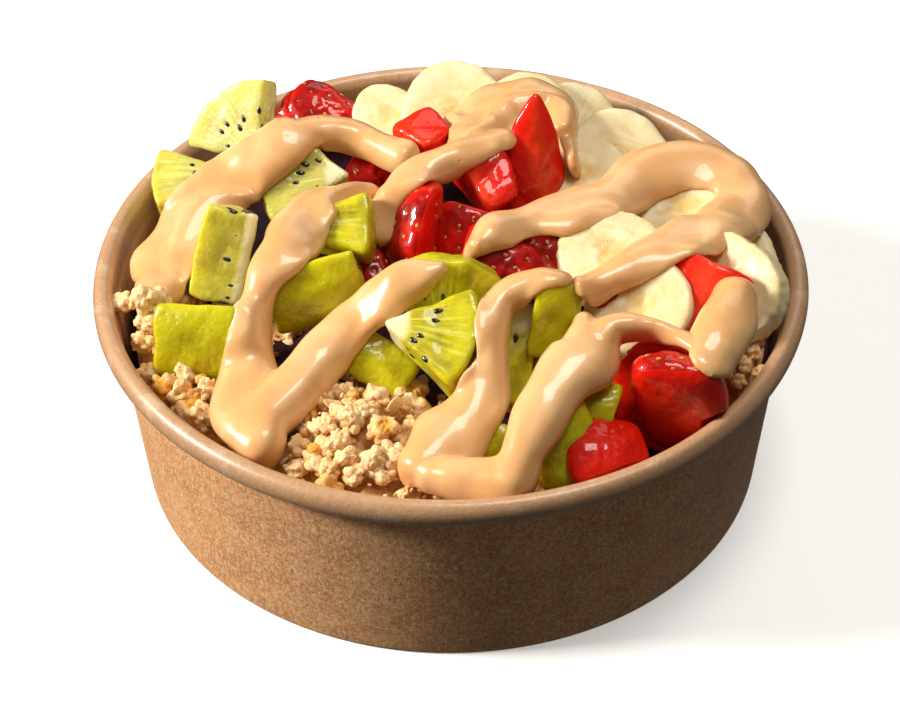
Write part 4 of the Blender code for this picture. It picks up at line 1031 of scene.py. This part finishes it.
banana_material = banana_finish()
for index, (name, (middle, axis, radius, thick, shape)) in enumerate(BANANA_SLICES.items()):
    turned = fruit_turn((1.0, 0.05, 0.0), axis)
    local = banana_surface(fruit_ways, radius, thick, shape)
    across = np.hypot(local[:, 0], local[:, 1]) / radius
    uneven = 0.12 * ripple(local, 9, index + 300) + 0.07 * ripple(local, 2.6, index + 350)
    local = local + fruit_ways * (uneven - 0.12)[:, None]
    local[:, 2] -= np.sign(local[:, 2]) * 0.35 * np.exp(-(across / 0.3) ** 2)
    laid_points.append(kept_off_wall(local @ turned.T + middle))
    mesh_piece(name + "_flesh", laid_points[-1], fruit_faces, banana_material, [name],
               {"across": across, "in_fruit": local})

# ---------------------------------------------------------------------------------------------------
# Nut butter
# Thick smooth nut butter poured to and fro from a spoon.  It lies over the fruit in rounded ropes that
# run together, pool at the wall and keep a wet shine.
# ---------------------------------------------------------------------------------------------------
SAUCE_SKIN = 0.6
SAUCE_FLATNESS = 0.8
SAUCE_TALLEST = 3.1
SAUCE_SOFTNESS = 0.8
SAUCE_VOXEL = 0.45
GROUND_CELL = 0.5
ROUNDING = 2.2
POUR_FRAME = np.array([(1.0, 0.0, 0.0), (0.0, 0.8944, 0.4472), (0.0, -0.4472, 0.8944)])
SAUCE_RUNS = {
    "left_lobe": [
        (-60, -7, 46, 5.5), (-59, 0, 46, 7.5), (-55, 9, 48, 8), (-49, 18, 52, 7.5), (-42, 22, 57, 6.5),
        (-34, 26, 60, 5), (-27, 30, 60, 3.5), (-19, 30, 58, 3.5), (-10, 23, 58, 3),
    ],
    "left_rope": [
        (-17, 12, 55, 2), (-22, 9, 57, 3.5), (-27, 4, 59, 5), (-31, -5, 60, 6), (-33, -12, 60, 5.5),
        (-37, -18, 58, 3.5), (-39, -22, 54, 3), (-40, -28, 49, 4), (-40, -37, 47, 6.5),
        (-39, -47, 47, 7.5), (-37, -53, 46, 5),
    ],
    "middle_rope": [
        (-37, -48, 47, 5), (-31, -41, 48, 5), (-25, -32, 50, 4.5), (-18, -26, 54, 4.5),
        (-11, -24, 59, 4), (-6, -23, 61, 3), (-2, -22, 62, 1),
    ],
    "front_rope": [
        (-6, -60, 46, 4), (-1, -55, 47, 6.5), (4, -49, 49, 5), (7, -43, 51, 4), (8, -39, 54, 3),
        (8, -34, 57, 3), (10, -28, 60, 3), (16, -25, 61, 3), (22, -24, 61, 2),
    ],
    "front_pool": [
        (-4, -63, 46, 3), (3, -65, 47, 4), (11, -66, 48, 4), (14, -61, 51, 4),
    ],
    "right_rope": [
        (11, -67, 48, 4), (14, -61, 52, 4), (18, -54, 56, 4.5), (22, -48, 58, 5.5), (26, -43, 59, 6.5),
        (26, -36, 61, 2),
    ],
    "right_bridge": [
        (29, -40, 60, 4), (32, -38, 61, 2.5), (39, -38, 61, 1.5), (44, -40, 60, 1.5), (49, -43, 59, 2),
    ],
    "right_drop": [
        (56, -29, 61, 4), (54, -36, 61, 5.5), (51, -42, 60, 5.5), (50, -45, 58, 4),
    ],
    "upper_rope": [
        (-14, 2, 52, 2.5), (-13, 6, 56, 3), (-9, 10, 60, 3.5), (-3, 13, 63, 3.5), (4, 17, 63, 3.5),
        (11, 23, 60, 3),
    ],
    "back_sheet": [
        (3, 37, 55, 3.5), (7, 38, 57, 6.5), (13, 40, 58, 8), (19, 42, 58, 7), (24, 41, 57, 4.5),
        (25, 31, 58, 2),
    ],
    "back_join": [
        (4, 20, 61, 3), (6, 28, 59, 5.5), (10, 36, 57, 6.5),
    ],
    "back_film": [
        (26, 32, 57, 1.5), (26, 28, 56, 1.5), (27, 21, 56, 1),
    ],
    "loop_rope": [
        (4, -12, 57, 1), (5, -12, 60, 2), (9, -8, 61, 3.5), (17, -2, 59, 4), (26, 3, 57, 6),
        (34, 8, 57, 5), (42, 17, 57, 6), (52, 21, 56, 6), (60, 18, 55, 6), (62, 10, 54, 5.5),
        (55, -3, 57, 6), (45, -12, 60, 5), (36, -19, 60, 3.5), (27, -24, 59, 2.5),
    ],
}
SAUCE_PIECES = {
    "sauce_left_lobe": ["left_lobe"],
    "sauce_left_rope": ["left_rope", "middle_rope"],
    "sauce_middle": ["upper_rope", "back_join", "back_sheet", "back_film"],
    "sauce_loop": ["loop_rope"],
    "sauce_front": ["front_rope", "front_pool", "right_rope", "right_bridge"],
    "sauce_drop": ["right_drop"],
}
CARAMEL = (0.78, 0.42, 0.165)
CARAMEL_PALE = (0.85, 0.51, 0.235)
# Painted shade for the insides of burst bubbles.
CARAMEL_PIT_SHADE = (0.60, 0.26, 0.06)


def smooth_run(points, step):
    """A run refined by the cubic that passes through every point with the slope of its neighbours."""
    rows = np.array(points, dtype=float)
    rows = np.vstack([2 * rows[0] - rows[1], rows, 2 * rows[-1] - rows[-2]])
    found = []
    for k in range(1, len(rows) - 2):
        before, start, end, after = rows[k - 1], rows[k], rows[k + 1], rows[k + 2]
        count = max(int(np.linalg.norm(end[:3] - start[:3]) / step), 1)
        share = (np.arange(count) / count)[:, None]
        found.append(0.5 * (2 * start + (end - before) * share
                            + (2 * before - 5 * start + 4 * end - after) * share ** 2
                            + (3 * start - before - 3 * end + after) * share ** 3))
    found.append(rows[-2][None])
    return np.vstack(found)


def gaussian_blur(field, reach):
    """A field averaged with a bell of weights along one way and then the other, edges repeated."""
    count = int(3 * reach)
    weights = np.exp(-0.5 * (np.arange(-count, count + 1) / reach) ** 2)
    weights /= weights.sum()
    for way in (0, 1):
        wide = np.pad(field, [(count, count) if side == way else (0, 0) for side in (0, 1)], mode="edge")
        field = sum(weight * np.take(wide, np.arange(k, k + field.shape[way]), axis=way)
                    for k, weight in enumerate(weights))
    return field


def ground_below():
    """Level of what the pour lands on, on a grid square to the pour, and the same level rounded over.

    Each cell takes the highest point laid in it; the rounded level is the log of blurred powers, which
    hangs over narrow gaps as thick cream does."""
    line = np.arange(-110.0, 110.0, GROUND_CELL)
    ground = np.full((len(line), len(line)), -60.0)
    spread = np.stack(np.meshgrid(np.arange(-68, 69, 0.5), np.arange(-68, 69, 0.5)), axis=-1).reshape(-1, 2)
    spread = spread[np.hypot(spread[:, 0], spread[:, 1]) < 68]
    beds = [np.column_stack([spread, puree_height(spread[:, 0], spread[:, 1])])]
    for start, finish, inner in GRANOLA_BANKS.values():
        turn = np.degrees(np.arctan2(spread[:, 1], spread[:, 0])) % 360
        kept = ((turn - start) % 360 < (finish - start)) & (np.hypot(spread[:, 0], spread[:, 1]) > inner)
        beds.append(np.column_stack([spread, granola_height(spread[:, 0], spread[:, 1])])[kept])
    for points in laid_points + beds:
        across = points @ POUR_FRAME.T
        cell = np.round((across[:, :2] - line[0]) / GROUND_CELL).astype(int)
        np.maximum.at(ground, (cell[:, 0], cell[:, 1]), across[:, 2])
    for way in (0, 1, 0, 1):
        ground = np.maximum(ground, np.maximum(np.roll(ground, 1, way), np.roll(ground, -1, way)))
    peak = ground.max()
    over = peak + ROUNDING * np.log(gaussian_blur(np.exp((ground - peak) / ROUNDING), 2.6 / GROUND_CELL))
    return gaussian_blur(ground, 0.7 / GROUND_CELL), over


def level_at(field, places):
    """A grid's value at places between its points, weighted from the four points about each."""
    spot = (places + 110.0) / GROUND_CELL
    cell = np.floor(spot).astype(int)
    part = spot - cell
    low = field[cell[..., 0], cell[..., 1]] * (1 - part[..., 0]) + field[
        cell[..., 0] + 1, cell[..., 1]] * part[..., 0]
    high = field[cell[..., 0], cell[..., 1] + 1] * (1 - part[..., 0]) + field[
        cell[..., 0] + 1, cell[..., 1] + 1] * part[..., 0]
    return low * (1 - part[..., 1]) + high * part[..., 1]


def poured_rope(points, seed):
    """A rope let down on to what lies below.

    Across the run the upper side is half an oval from the ground at one edge over the crown to the
    other; the crown is the run's own height or a skin over the rounded ground, whichever is higher."""
    rows = smooth_run(points, 0.8)
    middle, wide = rows[:, :3] @ POUR_FRAME.T, rows[:, 3] + SAUCE_SKIN
    wide = wide * (1 + 0.05 * ripple(middle, 14, seed))
    away = np.gradient(middle[:, :2], axis=0)
    away /= np.linalg.norm(away, axis=1)[:, None]
    caps = np.sin(np.radians([89, 82, 72, 60, 45, 30, 15]))
    shrink = np.sqrt(1 - caps ** 2)
    ends = len(caps)
    spine = np.vstack([middle[0, :2] - away[0] * (wide[0] * caps)[:, None], middle[:, :2],
                       middle[-1, :2] + away[-1] * (wide[-1] * caps[::-1])[:, None]])
    side = np.vstack([np.tile(away[0], (ends, 1)), away, np.tile(away[-1], (ends, 1))])[:, ::-1] * (-1, 1)
    swell = np.concatenate([shrink, np.ones(len(rows)), shrink[::-1]])[:, None]
    widths = np.concatenate([np.full(ends, wide[0]), wide, np.full(ends, wide[-1])])[:, None] * swell
    level = np.concatenate([np.full(ends, middle[0, 2]), middle[:, 2], np.full(ends, middle[-1, 2])])[:, None]
    turns = 2 * np.pi * np.arange(32) / 32
    places = spine[:, None] + side[:, None] * (widths * np.cos(turns))[..., None]
    tall = np.minimum(widths * SAUCE_FLATNESS, SAUCE_TALLEST)
    own = level + tall
    skin = level_at(rounded_ground, places) + 1.5
    crown = own + SAUCE_SOFTNESS * np.log1p(np.exp((skin - own) / SAUCE_SOFTNESS))
    crown = np.minimum(crown, own + 3.0)
    base = np.clip(level_at(ground, places), crown - 5.2, crown - 1.2)
    rise = np.sin(turns)
    height = np.where(rise >= 0, base + (crown - base) * np.abs(rise) ** 0.9 * swell ** 0.5,
                      base - 1.3 * np.abs(rise) * swell)
    rings = np.concatenate([places, height[..., None]], axis=-1) @ POUR_FRAME
    faces = ring_faces(len(rings), 32)[:, ::-1].tolist()
    faces.append(list(range(32)))
    faces.append(list(range((len(rings) - 1) * 32, len(rings) * 32))[::-1])
    return rings.reshape(-1, 3), faces


def flowed_together(name, runs):
    """The ropes joined in one mesh, skinned over by Remesh, smoothed, and read back as plain mesh."""
    points, faces, start = [], [], 0
    for index, run in enumerate(runs):
        rope_points, rope_faces = poured_rope(SAUCE_RUNS[run], 400 + index)
        points.append(rope_points)
        faces += [[corner + start for corner in face] for face in rope_faces]
        start += len(rope_points)
    mesh = bpy.data.meshes.new(name + "_raw")
    mesh.from_pydata(np.vstack(points) * MM, [], faces)
    raw = bpy.data.objects.new(name + "_raw", mesh)
    bpy.context.scene.collection.objects.link(raw)
    skin = raw.modifiers.new("skin", "REMESH")
    skin.mode, skin.voxel_size = "VOXEL", SAUCE_VOXEL * MM
    soft = raw.modifiers.new("soft", "SMOOTH")
    soft.factor, soft.iterations = 0.5, 26
    bpy.context.view_layer.update()
    made = bpy.data.meshes.new_from_object(raw.evaluated_get(bpy.context.evaluated_depsgraph_get()))
    bpy.data.objects.remove(raw)
    flat = np.empty(len(made.vertices) * 3)
    made.vertices.foreach_get("co", flat)
    normals = np.empty(len(made.vertices) * 3)
    made.vertices.foreach_get("normal", normals)
    points = flat.reshape(-1, 3) / MM
    points = points + normals.reshape(-1, 3) * (0.16 * ripple(points, 9, 77) + 0.12)[:, None]
    made.vertices.foreach_set("co", (points * MM).ravel())
    made.name = name
    return made


def sauce_finish():
    """Smooth caramel-coloured cream with a wet shine, faint cloudiness and a few burst bubbles darkened inside as
    painted shade.
    """
    finish = Finish("nut_butter", Roughness=0.3, Specular_IOR_Level=0.4, Coat_Weight=0.45,
                    Coat_Roughness=0.05, Subsurface_Weight=0.2, Subsurface_Scale=0.003)
    finish.shader.inputs["Subsurface Radius"].default_value = (1.0, 0.5, 0.25)
    cloud = finish.noise(90, 3, 0.5)
    grain = finish.noise(1500, 3, 0.6)
    pits = 1.0 - finish.cells(260).between(0.05, 0.14)
    chance = finish.noise(140, 1, 0.5).between(0.60, 0.66)
    colour = finish.blend(cloud.between(0.4, 0.65), CARAMEL, CARAMEL_PALE)
    # painted shade: the burst bubbles darkened inside
    colour = finish.blend(pits * chance * 0.5, colour, CARAMEL_PIT_SHADE)
    return finish.wear(colour, 0.24 + grain * 0.14, grain * 0.12 + cloud * 0.3 - pits * chance, 0.25, 0.0005)


sauce_material = sauce_finish()
ground, rounded_ground = ground_below()
for name, runs in SAUCE_PIECES.items():
    made = flowed_together(name + "_pour", runs)
    made.polygons.foreach_set("use_smooth", np.ones(len(made.polygons), dtype=bool))
    made.materials.clear()
    made.materials.append(sauce_material)
    pour = bpy.data.objects.new(name + "_pour", made)
    bpy.context.scene.collection.objects.link(pour)
    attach(pour, "root")
    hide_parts(name)

# ---------------------------------------------------------------------------------------------------
# Floor, light and camera
# A white table top that runs to the backdrop in one sweep, a lamp high on the left, a broad weak one
# overhead, one behind and a dim white room.
# ---------------------------------------------------------------------------------------------------
CAMERA_PLACE = (0.0, -377.13, 344.94)
CAMERA_RIGHT = (0.999953, -0.005983, -0.007610)
CAMERA_UP = (0.009670, 0.652558, 0.757677)
CAMERA_AWAY = (0.000433, -0.757715, 0.652585)
CAMERA_LENS = 91.44


def floor_sweep():
    """A flat sheet that curves up far behind the bowl into the backdrop."""
    along = np.concatenate([np.linspace(-1500, 900, 30), 900 + 500 * np.sin(np.linspace(0.05, np.pi / 2, 20)),
                            np.full(6, 1400.0)])
    rise = np.concatenate([np.zeros(30), 500 * (1 - np.cos(np.linspace(0.05, np.pi / 2, 20))),
                           np.linspace(600, 1600, 6)])
    across = np.linspace(-2200, 2200, 40)
    x, y = np.meshgrid(across, along, indexing="ij")
    z = np.broadcast_to(rise, x.shape)
    return np.stack([x, y, z], axis=-1)


sweep = floor_sweep()
rows, columns = sweep.shape[:2]
corner = np.arange(rows * columns).reshape(rows, columns)
sweep_faces = np.stack([corner[:-1, :-1], corner[1:, :-1], corner[1:, 1:], corner[:-1, 1:]],
                       axis=-1).reshape(-1, 4)
floor_mesh = bpy.data.meshes.new("floor")
floor_mesh.from_pydata(sweep.reshape(-1, 3) * MM, [], sweep_faces.tolist())
floor_mesh.polygons.foreach_set("use_smooth", np.ones(len(floor_mesh.polygons), dtype=bool))
floor_finish = Finish("white_table", Roughness=0.6, Specular_IOR_Level=0.3, Emission_Color=(1.0, 0.98, 0.95, 1.0),
                      Emission_Strength=0.4)
floor_cloud = floor_finish.noise(3, 3, 0.5)
floor_material = floor_finish.wear(
    floor_finish.blend(floor_cloud, (0.86, 0.86, 0.86), (0.90, 0.90, 0.90)), 0.55 + floor_cloud * 0.1)
floor_mesh.materials.append(floor_material)
floor = bpy.data.objects.new("floor", floor_mesh)
bpy.context.scene.collection.objects.link(floor)
floor.visible_diffuse = False
floor.visible_glossy = False


def soft_lamp(name, place, wide, tall, power, colour):
    """A rectangular lamp that looks at the bowl."""
    lamp = bpy.data.lights.new(name, "AREA")
    lamp.shape, lamp.size, lamp.size_y, lamp.energy, lamp.color = "RECTANGLE", wide, tall, power, colour
    hung = bpy.data.objects.new(name, lamp)
    hung.location = place
    hung.rotation_euler = (Vector((0, 0, 0.035)) - Vector(place)).to_track_quat("-Z", "Y").to_euler()
    bpy.context.scene.collection.objects.link(hung)


soft_lamp("key_lamp", (-1.05, -0.10, 0.68), 0.30, 0.30, 23.5, (1.0, 0.95, 0.88))
soft_lamp("top_lamp", (0.22, 0.02, 1.15), 0.42, 0.42, 6.5, (1.0, 0.96, 0.90))
soft_lamp("back_lamp", (0.35, 1.0, 0.8), 0.9, 0.5, 2.2, (1.0, 0.96, 0.90))
world = bpy.data.worlds.new("room")
world.use_nodes = True
world.node_tree.nodes["Background"].inputs["Color"].default_value = (1.0, 0.95, 0.88, 1.0)
world.node_tree.nodes["Background"].inputs["Strength"].default_value = 0.075
bpy.context.scene.world = world

lens = bpy.data.cameras.new("camera")
lens.lens, lens.sensor_width, lens.clip_end = CAMERA_LENS, 36.0, 20.0
camera = bpy.data.objects.new("camera", lens)
camera.matrix_world = Matrix((
    (CAMERA_RIGHT[0], CAMERA_UP[0], CAMERA_AWAY[0], CAMERA_PLACE[0] * MM),
    (CAMERA_RIGHT[1], CAMERA_UP[1], CAMERA_AWAY[1], CAMERA_PLACE[1] * MM),
    (CAMERA_RIGHT[2], CAMERA_UP[2], CAMERA_AWAY[2], CAMERA_PLACE[2] * MM), (0, 0, 0, 1)))
bpy.context.scene.collection.objects.link(camera)
bpy.context.scene.camera = camera
bpy.context.scene.view_settings.view_transform = "Standard"
